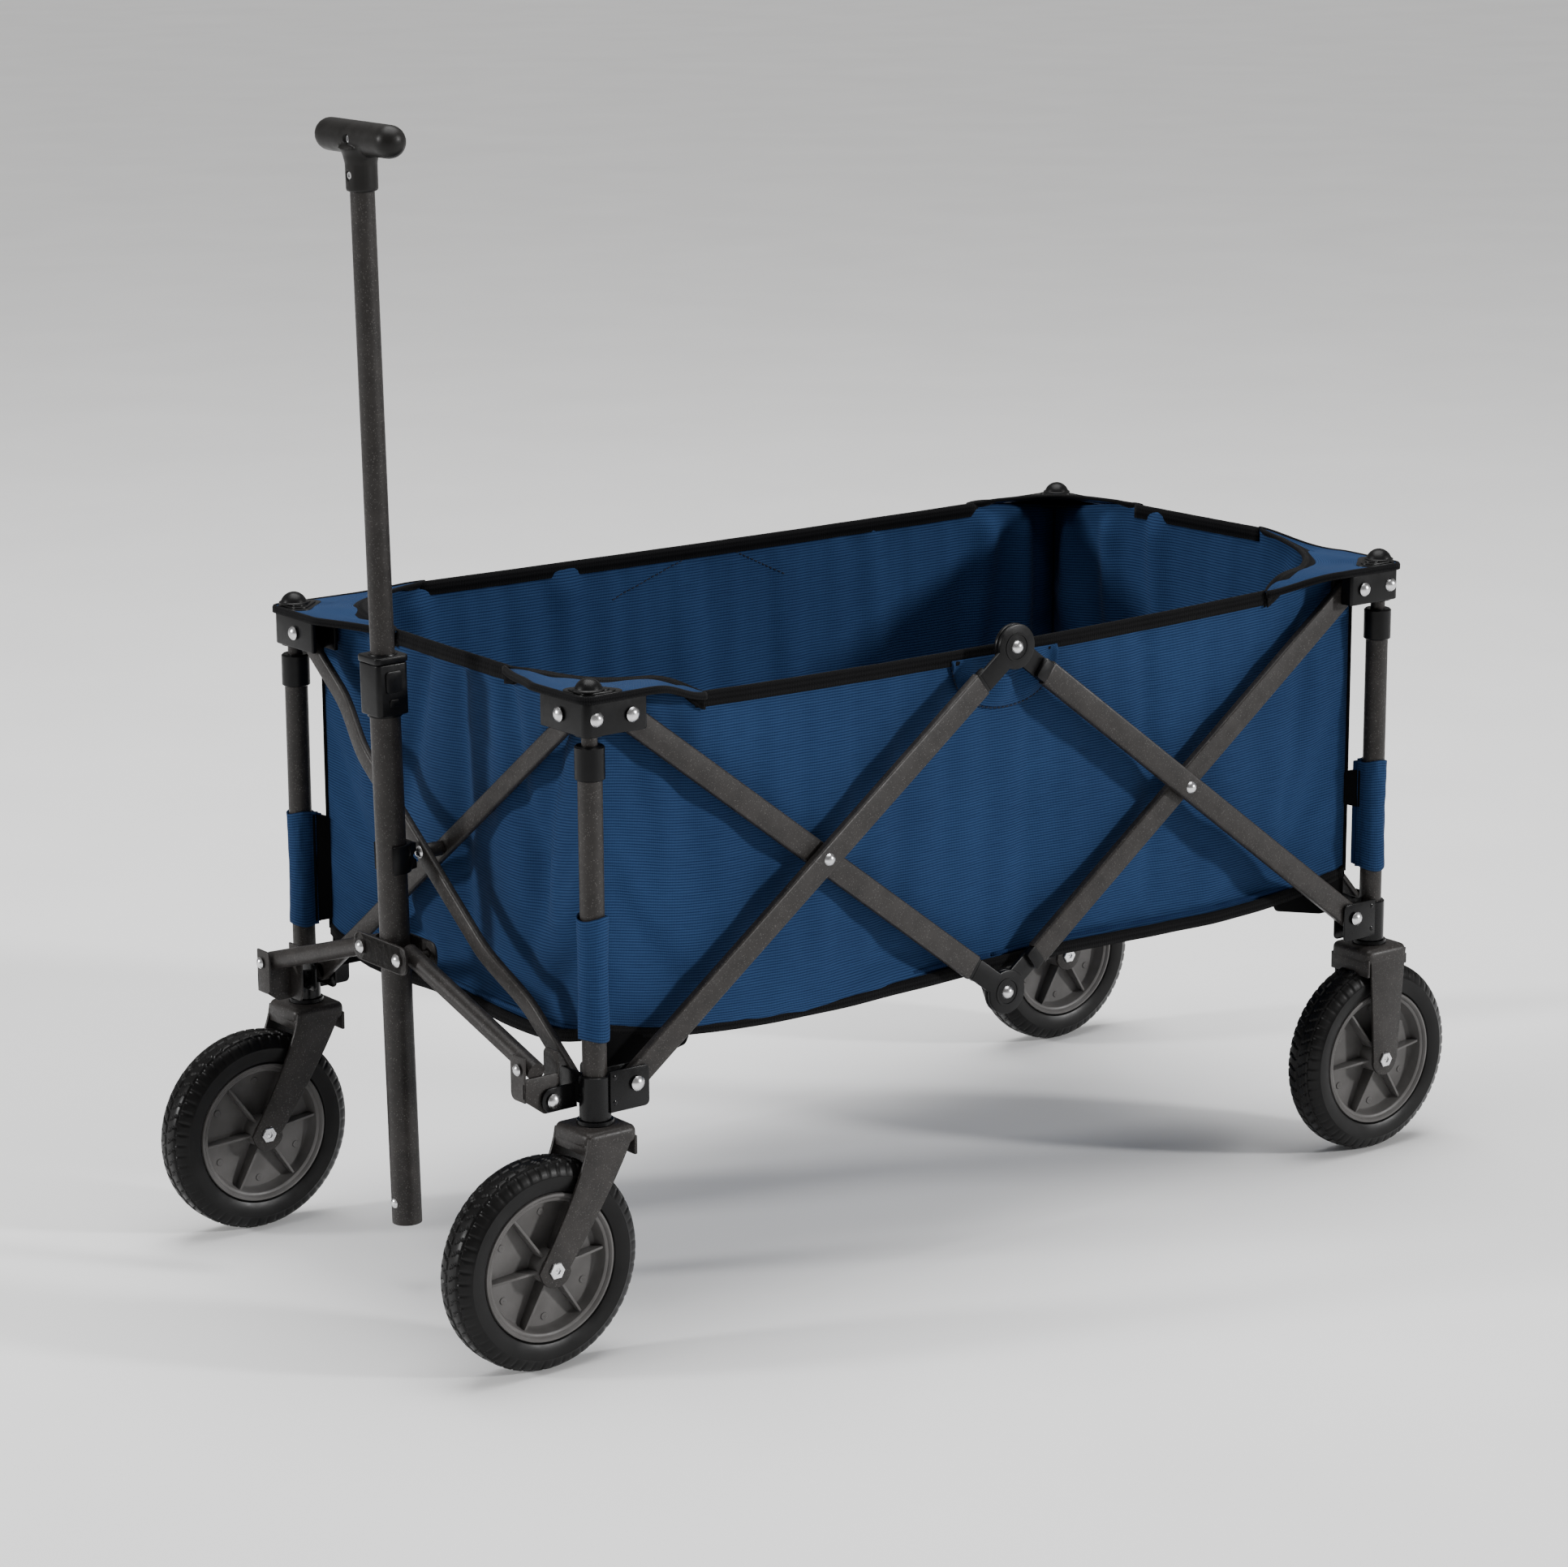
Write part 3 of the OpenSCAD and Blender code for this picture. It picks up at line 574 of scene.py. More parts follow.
def build_floor():
    """Padded floor cloth in two halves that meet in the middle, quilted by one cross seam."""
    inset = 0.002
    length, width = 2 * (WALL_X - inset), 2 * (WALL_Y - inset)
    bm = bmesh.new()

    def place(u, v):
        sag = math.sin(math.pi * u) ** 0.5 * math.sin(math.pi * v) ** 0.5
        x, y = (u - 0.5) * length, (v - 0.5) * width
        lift = hem_height(2 * u - 1) * 0.5 + hem_height(2 * v - 1) * 0.5
        edge = max(abs(2 * u - 1), abs(2 * v - 1)) ** 6
        z = (LOW_Z + 0.004) * (1 - edge) + (lift + 0.003) * edge
        return Vector((MID_X + x, y, z - 0.002 * sag + 0.002 * noise.noise(Vector((x * 8, y * 8, 3.3)))))

    nu, nv = 2 * round(length / STEP / 2), round(width / STEP)
    border = grid_sheet(bm, nu, nv, place, (length, width))
    whole = make("tub_floor", bm, CLOTH)
    middle = {i for i, v in enumerate(whole.data.vertices) if abs(v.co.x - MID_X) < STEP / 3}
    simulate(whole, border | middle, FLOOR_FRAMES)
    for end, keep_sign in (("front", -1), ("rear", 1)):
        bm = bmesh.new()
        bm.from_mesh(whole.data)
        wrong = [f for f in bm.faces if (f.calc_center_median().x - MID_X) * keep_sign < 0]
        bmesh.ops.delete(bm, geom=wrong, context="FACES")
        for v in bm.verts:
            v.co.z = max(LOW_Z + FLOOR_LOWEST, min(v.co.z, LOW_Z + FLOOR_HIGHEST))
        obj = make("tub_floor_cloth_" + end, bm, CLOTH)
        thicken(obj, PAD_T, 0, smoothed=True)
        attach(obj, "floor_" + end)
        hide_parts("tub_floor_" + end)
        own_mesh(obj)
    bpy.data.objects.remove(whole)


RIM_TAPE, HEM_TAPE = 0.0130, 0.0105     # widths
TAPE_T = 0.0008


def ribbon(name, path, normals, width, thick, mat, ups=None):
    """A tape folded over an edge that runs along a path: its width runs back along up, its thickness
    along the normal."""
    bm = bmesh.new()
    uv = bm.loops.layers.uv.verify()
    half, r = thick / 2, min(thick, width) * 0.45
    profile = [(-half, 0), (-half, width - r), (-half * 0.6, width - r * 0.2), (0, width),
               (half * 0.6, width - r * 0.2), (half, width - r), (half, 0)]
    rings, run = [], [0.0]
    for i, p in enumerate(path):
        up = ups[i] if ups else Vector((0, 0, 1))
        ring = [bm.verts.new(p + normals[i] * a + up * (b - width)) for a, b in profile]
        rings.append(ring)
        if i:
            run.append(run[-1] + (p - path[i - 1]).length)
    for i in range(len(rings) - 1):
        j = i + 1
        for k in range(len(profile) - 1):
            f = bm.faces.new((rings[i][k], rings[j][k], rings[j][k + 1], rings[i][k + 1]))
            along = [run[i], run[j]]
            for loop, (a, b) in zip(f.loops, ((0, 0), (1, 0), (1, 1), (0, 1))):
                loop[uv].uv = (along[a], (k + b) * width / 3)
    bmesh.ops.recalc_face_normals(bm, faces=bm.faces)
    obj = make(name, bm, mat)
    thicken(obj, TAPE_T, -1)
    return obj


def corner_webs(wall, out):
    """Black webbing at the foot of a long wall that ties its two corners down towards the brackets."""
    webs = []
    for sign, end in ((-1, "front"), (1, "rear")):
        x0 = MID_X + sign * WALL_X
        outline = round_corners([(0.001, 0.268), (0.022, 0.258), (0.088, 0.246),
                                 (0.084, 0.238), (0.030, 0.2265), (0.001, 0.2265)],
                                [0.001, 0.010, 0.002, 0.006, 0.006, 0.002])
        bm = bmesh.new()
        m = axes_matrix((x0, out.y * (WALL_Y + 0.0012), 0), (-sign, 0, 0), (0, 0, 1))
        outline_solid(bm, outline, -0.0009, 0.0009, m, bevel=0.0004)
        webs.append(finish_solid(f"corner_web_{wall}_{end}", bm, TAPE, None))
    return webs


def build_bindings(walls):
    """Black tape folded over the rim and the hem of each wall."""
    for wall, (start, end, normal, _, body, axis, anchor, keep) in WALLS.items():
        n = Vector((*normal, 0))
        steps = 60 if wall in ("near", "far") else 32
        rim, hem = [], []
        for i in range(steps + 1):
            t = -1 + 2 * i / steps
            wobble = 0.0006 * noise.noise(Vector((t * 9, 1.5 * len(wall), 0)))
            rim.append(wall_point(wall, t * (flap_end(wall) + 0.02), 1.0, wobble) + Vector((0, 0, 0.0012)))
            hem.append(wall_point(wall, t, 0.0, wobble * 2) + Vector((0, 0, HEM_TAPE - 0.0015)))
        rim_tape = ribbon(f"rim_tape_{wall}", rim, [n] * len(rim), RIM_TAPE, 0.0040, TAPE)
        hem_tape = ribbon(f"hem_tape_{wall}", hem, [n] * len(hem), HEM_TAPE, 0.0046, TAPE)
        trim = [rim_tape, hem_tape]
        if wall in ("near", "far"):
            trim += corner_webs(wall, n)
        for obj in [walls[wall]] + trim:
            if obj is not walls[wall]:
                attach(obj, body)
            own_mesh(obj)


# ---------------------------------------------------------------- solid shapes
def append(bm, part, matrix):
    """Moves a finished part by matrix into bm."""
    mesh = bpy.data.meshes.new("part")
    part.to_mesh(mesh)
    part.free()
    mesh.transform(matrix)
    bm.from_mesh(mesh)
    bpy.data.meshes.remove(mesh)


def outline_solid(bm, points, depth0, depth1, matrix, bevel=0.0, segments=2):
    """Extrudes a flat outline from depth0 to depth1 along the matrix's third axis and rounds its rims."""
    part = bmesh.new()
    bottom = [part.verts.new((x, y, depth0)) for x, y in points]
    top = [part.verts.new((x, y, depth1)) for x, y in points]
    n = len(points)
    caps = [part.faces.new(bottom[::-1]), part.faces.new(top)]
    for i in range(n):
        j = (i + 1) % n
        part.faces.new((bottom[i], bottom[j], top[j], top[i]))
    bmesh.ops.recalc_face_normals(part, faces=part.faces)
    if bevel:
        rims = list({e for f in caps for e in f.edges})
        bmesh.ops.bevel(part, geom=rims, offset=bevel, segments=segments, affect="EDGES", profile=0.5)
    append(bm, part, matrix)


def axes_matrix(origin, x_axis, y_axis):
    x, y = Vector(x_axis).normalized(), Vector(y_axis).normalized()
    return Matrix.Translation(origin) @ Matrix((x, y, x.cross(y))).transposed().to_4x4()


def arc(cx, cy, r, a0, a1, n):
    return [(cx + r * math.cos(math.radians(a0 + (a1 - a0) * i / n)),
             cy + r * math.sin(math.radians(a0 + (a1 - a0) * i / n)))
            for i in range(n + 1)]


def rounded_rect(x0, y0, x1, y1, r, n=4):
    return (arc(x1 - r, y0 + r, r, -90, 0, n) + arc(x1 - r, y1 - r, r, 0, 90, n)
            + arc(x0 + r, y1 - r, r, 90, 180, n) + arc(x0 + r, y0 + r, r, 180, 270, n))


def lathe(bm, profile, steps, matrix, closed=False):
    """Turns (radius, height) points about the matrix's third axis."""
    part = bmesh.new()
    rings = []
    for k in range(steps):
        a = 2 * math.pi * k / steps
        rings.append([part.verts.new((r * math.cos(a), r * math.sin(a), h)) for r, h in profile])
    m = len(profile)
    for k in range(steps):
        l = (k + 1) % steps
        for i in range(m if closed else m - 1):
            j = (i + 1) % m
            part.faces.new((rings[k][i], rings[l][i], rings[l][j], rings[k][j]))
    append(bm, part, matrix)


def finish_solid(name, bm, mat, body, node=None, angle=40):
    """Closes up a solid piece, shades it smooth apart from its sharp edges, and rides it on a body."""
    bmesh.ops.remove_doubles(bm, verts=bm.verts, dist=1e-6)
    bmesh.ops.recalc_face_normals(bm, faces=bm.faces)
    for e in bm.edges:
        e.smooth = len(e.link_faces) != 2 or e.calc_face_angle(0) < math.radians(angle)
    obj = make(name, bm, mat, body)
    if node:
        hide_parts(node)
    return obj


# ---------------------------------------------------------------- rivets
def dome_profile(r, h, n=7):
    """A dome head's outline from its seat to its crown."""
    ball = (r * r + h * h) / (2 * h)
    pts = [(r, 0.0)]
    a0 = math.asin(min(1, r / ball))
    for i in range(n + 1):
        a = a0 * (1 - i / n)
        pts.append((max(ball * math.sin(a), 1e-5), ball * math.cos(a) - (ball - h)))
    return pts


def add_rivet(bm, place, direction, r, h):
    d = Vector(direction).normalized()
    side = Vector((0, 0, 1)) if abs(d.z) < 0.9 else Vector((1, 0, 0))
    u = side.cross(d).normalized()
    m = axes_matrix(place, u, d.cross(u))
    lathe(bm, dome_profile(r, h), 28, m)


# ---------------------------------------------------------------- side bars and their hinge fittings
BAR_T = 0.0085
BAR_W = 0.022
INNER_Y, OUTER_Y = -0.004, 0.006       # bar layers, outward from the post axis
LAP_GAP = 0.0004
TUBE_END = 0.045                       # from the middle hinge to the end of the steel tube
LOBE_R = 0.0195


def bar_frame(p0, p1, side):
    """Matrix with X along the bar, and Z outward from the wagon's side."""
    along = (p1 - p0).normalized()
    outward = Vector((0, side, 0))
    return axes_matrix(p0, along, outward.cross(along))


def side_bar(name, node, body, p0, p1, side, layer, lap):
    m = bar_frame(p0, p1, side)
    length = (p1 - p0).length
    z0, z1 = layer - BAR_T / 2, layer + BAR_T / 2
    l0, l1 = (layer + LAP_GAP / 2, z1) if lap > 0 else (z0, layer - LAP_GAP / 2)
    bm = bmesh.new()
    half = BAR_W / 2
    tube = arc(0.002, 0, half, 90, 270, 12) + [(length - TUBE_END, -half), (length - TUBE_END, half)]
    outline_solid(bm, tube, z0, z1, m, bevel=0.0022, segments=3)
    finish_solid(name, bm, STEEL, body, node)
    bm = bmesh.new()
    neck = half * 0.86
    plug = rounded_rect(length - TUBE_END - 0.003, -neck, length - TUBE_END + 0.010, neck, 0.002, 2)
    outline_solid(bm, plug, z0 + 0.0006, z1 - 0.0006, m, bevel=0.0010)
    ang = math.degrees(math.asin(neck / LOBE_R))
    lobe = ([(length - TUBE_END + 0.002, neck)] + [(length - TUBE_END + 0.002, -neck)]
            + arc(length, 0, LOBE_R, 180 + ang, 540 - ang, 30))
    outline_solid(bm, lobe, l0, l1, m, bevel=0.0012)
    ring = [(0.0125, l1 - 0.0005), (0.0125, l1 + 0.0006), (0.0105, l1 + 0.0006), (0.0100, l1 - 0.0005)]
    lathe(bm, ring, 32, m @ moved(length, 0, 0), closed=True)
    finish_solid(name + "_fitting", bm, BLACK, body)


def build_side_bars():
    for side, word in ((-1, "near"), (1, "far")):
        low = pivot("fold" if word == "near" else "side_lower_front_far")
        low_rear = pivot(f"side_lower_rear_{word}")
        mid_top = pivot(f"side_mid_top_{word}")
        top_rear = pivot(f"side_top_rear_{word}")
        top_front = Vector((low.x, low.y, mid_top.z))
        mid_low = Vector((mid_top.x, low.y, low.z))
        for kind, p0, p1, layer, lap in (("front_outer", low, mid_top, OUTER_Y, 1),
                                         ("rear_outer", low_rear, mid_top, OUTER_Y, -1),
                                         ("front_inner", top_front, mid_low, INNER_Y, 1),
                                         ("rear_inner", top_rear, mid_low, INNER_Y, -1)):
            name = f"bar_{kind}_{word}"
            side_bar(name, "side_" + name, name, p0, p1, side, layer, lap)
        out = Vector((0, side, 0))
        face = out * (OUTER_Y + BAR_T / 2)
        inner_face = out * (INNER_Y + BAR_T / 2)
        for end in ("front", "rear"):
            body = f"bar_{end}_outer_{word}"
            bm = bmesh.new()
            cross = pivot(f"side_cross_{end}_{word}")
            add_rivet(bm, cross + face, out, 0.0055, 0.0036)
            add_rivet(bm, cross + out * (INNER_Y - BAR_T / 2), -out, 0.0050, 0.0014)
            if end == "front":
                add_rivet(bm, mid_top + face, out, 0.0060, 0.0045)
            finish_solid(f"rivets_{end}_outer_{word}", bm, METAL, body)
        bm = bmesh.new()
        add_rivet(bm, mid_low + inner_face, out, 0.0060, 0.0045)
        finish_solid(f"rivets_front_inner_{word}", bm, METAL, f"bar_front_inner_{word}")


# ---------------------------------------------------------------- end bars
OUTER_X, INNER_X = 0.0045, -0.005
END_T, END_W = 0.007, 0.016
BOW = 0.012


def build_end_bars():
    for end, sign in (("front", -1), ("rear", 1)):
        low = pivot(f"{end}_lower_near")
        high = Vector((low.x, -low.y, low.z + 2 * (pivot(f"{end}_cross").z - low.z)))
        for kind in ("outer", "inner"):
            a, b = low, high
            if kind == "inner":
                a, b = Vector((low.x, low.y, high.z)), Vector((low.x, high.y, low.z))
            length = (b - a).length
            m = axes_matrix(a, b - a, Vector((sign, 0, 0)).cross(b - a))
            layer = OUTER_X if kind == "outer" else INNER_X
            steps = 64
            bm = bmesh.new()
            tube = bmesh.new()
            rings = []
            section = rounded_rect(-END_W / 2, -END_T / 2, END_W / 2, END_T / 2, 0.0022, 3)
            for i in range(steps + 1):
                x = length * i / steps
                t = min(1, max(0, (min(x, length - x) - 0.070) / 0.080))
                bow = (BOW * (3 * t * t - 2 * t ** 3)) if kind == "outer" else 0
                rings.append([tube.verts.new((x, u, layer + bow + v)) for u, v in section])
            for i in range(steps):
                for k in range(len(section)):
                    l = (k + 1) % len(section)
                    tube.faces.new((rings[i][k], rings[i + 1][k], rings[i + 1][l], rings[i][l]))
            tube.faces.new(rings[0][::-1])
            tube.faces.new(rings[-1])
            append(bm, tube, m)
            for x in (0, length):
                eye = arc(x, 0, END_W / 2, 0, 360, 28)[:-1]
                outline_solid(bm, eye, layer - END_T / 2, layer + END_T / 2, m, bevel=0.0010)
            finish_solid(f"{end}_bar_{kind}_tube", bm, STEEL, f"bar_{end}_end_{kind}",
                         f"{end}_bar_{kind}")
        out = Vector((sign, 0, 0))
        cross = pivot(f"{end}_cross")
        bm = bmesh.new()
        add_rivet(bm, cross + out * (OUTER_X + BOW + END_T / 2), out, 0.0055, 0.0034)
        finish_solid(f"rivet_{end}_cross", bm, METAL, f"bar_{end}_end_outer")
        bm = bmesh.new()
        low_x, high_x = INNER_X + END_T / 2, OUTER_X + BOW - END_T / 2
        post = [(0.0030, low_x), (0.0056, low_x), (0.0062, low_x + 0.0008), (0.0062, high_x - 0.0008),
                (0.0056, high_x), (0.0030, high_x)]
        lathe(bm, post, 24, axes_matrix(cross, (0, 1, 0), out.cross(Vector((0, 1, 0)))), closed=True)
        finish_solid(f"spacer_{end}_cross", bm, STEEL, f"bar_{end}_end_outer")


# ---------------------------------------------------------------- the handle's own frame
SLIDE = Vector(JOINT["handle_slide"]["axis"])
LEAN = math.atan2(SLIDE.x, -SLIDE.z)
OUTER_TUBE_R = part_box("handle_outer_tube")[1].y
GRIP_R = 0.0135


def handle_matrix():
    """Z along the leaning handle, with its heights as they are on the upright tube."""
    top = pivot("yoke_far_top")
    turn = Matrix.Rotation(-LEAN, 4, "Y")
    return moved(top.x, 0, top.z) @ turn @ moved(0, 0, -top.z)


# ---------------------------------------------------------------- bracket rivets
def build_bracket_rivets():
    for corner, sx, sy in (("fn", -1, -1), ("ff", -1, 1), ("rn", 1, -1), ("rf", 1, 1)):
        word = "near" if sy < 0 else "far"
        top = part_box("top_bracket_" + corner)
        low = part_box("bottom_bracket_" + corner)
        face_y = top[1].y if sy > 0 else top[0].y
        face_x = top[1].x if sx > 0 else top[0].x
        side_x = POST[corner].x - sx * 0.0315
        end_y = POST[corner].y - sy * 0.0215
        z = pivot("side_mid_top_near").z
        bm = bmesh.new()
        add_rivet(bm, (side_x, face_y, z), (0, sy, 0), 0.0062, 0.0032)
        add_rivet(bm, (POST[corner].x + sx * 0.002, face_y - sy * 0.002, z), (0, sy, 0), 0.0062, 0.0040)
        add_rivet(bm, (face_x, end_y, z), (sx, 0, 0), 0.0062, 0.0032)
        finish_solid(f"rivets_top_{corner}", bm, METAL, "top_" + corner)
        bm = bmesh.new()
        low_y = low[1].y if sy > 0 else low[0].y
        add_rivet(bm, (side_x, low_y, pivot("fold").z), (0, sy, 0), 0.0062, 0.0030)
        if sx < 0:
            tilt = pivot("handle_tilt")
            add_rivet(bm, (tilt.x, sy * 0.2115, tilt.z), (0, sy, 0), 0.0062, 0.0028)
        else:
            add_rivet(bm, (low[1].x, end_y, pivot("fold").z), (sx, 0, 0), 0.0062, 0.0028)
        finish_solid(f"rivets_low_{corner}", bm, METAL, "corner_" + corner)
    for word, sy in (("near", -1), ("far", 1)):
        low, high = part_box("yoke_bracket_" + word)
        bm = bmesh.new()
        add_rivet(bm, (low.x, sy * 0.198, 0.245), (-1, 0, 0), 0.0050, 0.0026)
        add_rivet(bm, (high.x, sy * 0.198, 0.245), (1, 0, 0), 0.0050, 0.0020)
        finish_solid(f"rivets_yoke_{word}", bm, METAL, "yoke_bracket_" + word)
    low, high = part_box("handle_bracket")
    bm = bmesh.new()
    for sy in (-1, 1):
        y, z = abs(pivot("yoke_far_top").y) * sy, pivot("yoke_far_top").z
        add_rivet(bm, (low.x, y, z), (-1, 0, 0), 0.0056, 0.0030)
        add_rivet(bm, (high.x, y, z), (1, 0, 0), 0.0056, 0.0024)
    m = handle_matrix()
    lean = m.to_3x3()
    foot = m @ Vector((-OUTER_TUBE_R + 0.0006, 0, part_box("handle_outer_tube")[0].z + 0.019))
    add_rivet(bm, foot, lean @ Vector((-1, 0, 0)), 0.0048, 0.0024)
    finish_solid("rivets_handle", bm, METAL, "handle")


# ---------------------------------------------------------------- wheels
WHEEL_R = 0.089


def tyre_radius(w):
    """Section of the tyre: radius on the outside at a distance w from its middle plane."""
    edge = min(1.0, abs(w) / 0.0188)
    return WHEEL_R - 0.0008 - 0.0125 * edge ** 4.2


def build_tyre(corner, centre, body):
    lugs, per_lug = 54, 8
    steps = lugs * per_lug
    shoulder = [i / 16 * 0.0184 for i in range(17)]
    across = [-w for w in reversed(shoulder[1:])] + shoulder
    wall = [(0.0760, 0.0190), (0.0730, 0.0190), (0.0690, 0.0184), (0.0655, 0.0176), (0.0635, 0.0168),
            (0.0622, 0.0152)]
    bm = bmesh.new()
    rings = []
    for k in range(steps):
        a = 2 * math.pi * k / steps
        ring = []
        for r, w in reversed(wall):
            ring.append((r, -w))
        for w in across:
            r = tyre_radius(w)
            aw = abs(w)
            phase = (k / per_lug + (0.5 if w > 0 else 0.0)) % 1.0
            if 0.0125 < aw < 0.0175:
                cut = 0.0010 if phase < 0.20 else 0.0
            elif 0.0105 < aw <= 0.0125:
                cut = 0.0010
            elif 0.0022 < aw <= 0.0105:
                slant = (k / per_lug + (0.5 if w > 0 else 0.0) + aw * 60) % 1.0
                cut = 0.0011 if slant < 0.22 else 0.0
            else:
                cut = 0.0009 if aw < 0.0012 else 0.0
            ring.append((r - cut, w))
        for r, w in wall:
            ring.append((r, w))
        rings.append([bm.verts.new((r * math.cos(a), r * math.sin(a), w)) for r, w in ring])
    n = len(rings[0])
    for k in range(steps):
        l = (k + 1) % steps
        for i in range(n):
            j = (i + 1) % n
            bm.faces.new((rings[k][i], rings[l][i], rings[l][j], rings[k][j]))
    bmesh.ops.transform(bm, matrix=axes_matrix(centre, (1, 0, 0), (0, 0, 1)), verts=bm.verts)
    finish_solid("tyre_tread_" + corner, bm, TYRE, body, "tyre_" + corner, angle=28)


def build_hub(corner, centre, body):
    m = axes_matrix(centre, (1, 0, 0), (0, 0, 1))
    half = [(0.0620, 0.0152), (0.0614, 0.0168), (0.0596, 0.0172), (0.0584, 0.0164),
            (0.0576, 0.0150), (0.0560, 0.0148), (0.0550, 0.0140), (0.0530, 0.0060),
            (0.0515, 0.0044), (0.0490, 0.0040), (0.0150, 0.0040), (0.0138, 0.0048),
            (0.0132, 0.0170), (0.0122, 0.0196), (0.0080, 0.0200), (0.0055, 0.0200)]
    profile = half + [(r, -w) for r, w in reversed(half)]
    bm = bmesh.new()
    lathe(bm, profile, 96, m, closed=True)
    for i in range(6):
        a = math.radians(60 * i + 5)
        for s in (-1, 1):
            spoke = m @ Matrix.Rotation(a, 4, "Z") @ turned(90, "X")
            fin = [(0.0125, s * 0.0030), (0.0540, s * 0.0030), (0.0548, s * 0.0120), (0.0520, s * 0.0128),
                   (0.0180, s * 0.0165), (0.0125, s * 0.0170)]
            if s < 0:
                fin = fin[::-1]
            outline_solid(bm, fin, -0.0011, 0.0011, spoke, bevel=0.0004)
            mark = m @ Matrix.Rotation(a + math.radians(26), 4, "Z") @ moved(0.0445, 0, 0)
            disc = [(0.0031, s * 0.0039), (0.0031, s * 0.0045), (0.0027, s * 0.0048), (0.0004, s * 0.0048)]
            lathe(bm, disc, 20, mark)
    finish_solid("hub_moulding_" + corner, bm, HUB, body, "hub_" + corner, angle=35)


def fork_leg_outline(trail):
    """Leg seen from the side, about the stem's axis: wide at the crown, curved down to a round foot."""
    top, foot = 0.1915, 0.089
    left, right = [], []
    for i in range(13):
        t = i / 12
        ease = t ** 1.25
        cx = 0.001 + trail * ease
        z = top + (foot - top) * t
        w = 0.0225 - 0.0075 * t ** 0.8
        left.append((cx - w, z))
        right.append((cx + w, z))
    end = arc(trail, foot, 0.015, 0, -180, 14)
    return left[::-1] + right + end[1:-1]


def build_fork(word, corner, centre, trail, body, sign):
    node_name = ("caster_fork_" if trail else "rear_fork_") + word
    stem = POST[corner]
    bm = bmesh.new()
    m = axes_matrix((stem.x, stem.y, 0), (sign, 0, 0), (0, 0, 1))
    for s in (-1, 1):
        z0, z1 = (0.0216, 0.0246) if s > 0 else (-0.0246, -0.0216)
        outline_solid(bm, fork_leg_outline(trail), z0, z1, m, bevel=0.0009)
    crown = rounded_rect(-0.0245, -0.0250, 0.0250, 0.0250, 0.0065, 5)
    lift = moved(stem.x, stem.y, 0) @ Matrix.Diagonal((sign, 1, 1, 1))
    outline_solid(bm, crown, 0.1800, 0.1955, lift, bevel=0.0055, segments=5)
    for x0, x1, z0 in ((-0.0242, -0.0212, 0.170), (0.0217, 0.0247, 0.1765)):
        wall = rounded_rect(x0, -0.0243, x1, 0.0243, 0.0010, 2)
        outline_solid(bm, wall, z0, 0.186, lift, bevel=0.0008)
    finish_solid(node_name + "_shell", bm, STEEL, body, node_name)
    bm = bmesh.new()
    for s in (-1, 1):
        axle = axes_matrix(centre, (1, 0, 0), (0, 0, -s))
        seat = [(0.0072, 0.0246), (0.0072, 0.0262), (0.0066, 0.0268), (0.0030, 0.0268), (0.0028, 0.0255),
                (0.0005, 0.0252)]
        lathe(bm, seat, 6 if s < 0 else 28, axle)
        collar = [(0.0050, 0.0195), (0.0090, 0.0198), (0.0090, 0.0216), (0.0050, 0.0216)]
        lathe(bm, collar, 28, axle)
    washer = [(0.006, 0.1945), (0.0125, 0.1945), (0.0128, 0.1952), (0.0125, 0.1960), (0.006, 0.1960)]
    lathe(bm, washer, 32, moved(stem.x, stem.y, 0))
    finish_solid(node_name + "_hardware", bm, METAL, body)


def build_wheels():
    for corner, word in (("fn", "near"), ("ff", "far"), ("rn", "near"), ("rf", "far")):
        front = corner[0] == "f"
        centre = pivot("wheel_spin_" + corner)
        body = "wheel_" + corner
        build_tyre(corner, centre, body)
        build_hub(corner, centre, body)
        trail = abs(centre.x - POST[corner].x)
        build_fork(word, corner, centre, trail if front else 0.0,
                   "caster_" + word if front else "corner_" + corner, -1 if front else 1)


# ---------------------------------------------------------------- corners
SIGN = {"fn": (-1, -1), "ff": (-1, 1), "rn": (1, -1), "rf": (1, 1)}
TOP_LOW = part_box("top_bracket_fn")[0].z
TOP_HIGH = TOP_LOW + 0.029
SIDE_WING, END_WING = -0.0470, -0.0500      # how far a top bracket's wings reach along the side and the end


def corner_matrix(corner):
    """Local X points to the wagon's end, local Y to its side and Z up, from the post's axis."""
    sx, sy = SIGN[corner]
    return Matrix.Translation(POST[corner]) @ Matrix.Diagonal((sx, sy, 1, 1))


def round_corners(points, radius, n=5):
    """Rounds an outline's corners; radius is one number or one for each corner."""
    out = []
    for i, p in enumerate(points):
        r = radius[i] if isinstance(radius, (list, tuple)) else radius
        p, a, b = Vector(p), Vector(points[i - 1]), Vector(points[(i + 1) % len(points)])
        if r <= 0:
            out.append(tuple(p))
            continue
        da, db = (a - p).normalized(), (b - p).normalized()
        half = da.angle(db) / 2
        centre = p + (da + db).normalized() * (r / math.sin(half))
        s, e = p + da * (r / math.tan(half)) - centre, p + db * (r / math.tan(half)) - centre
        a0 = math.atan2(s.y, s.x)
        sweep = (math.atan2(e.y, e.x) - a0 + math.pi) % (2 * math.pi) - math.pi
        angles = [a0 + sweep * k / n for k in range(n + 1)]
        out += [tuple(centre + Vector((math.cos(angle), math.sin(angle))) * r) for angle in angles]
    return out


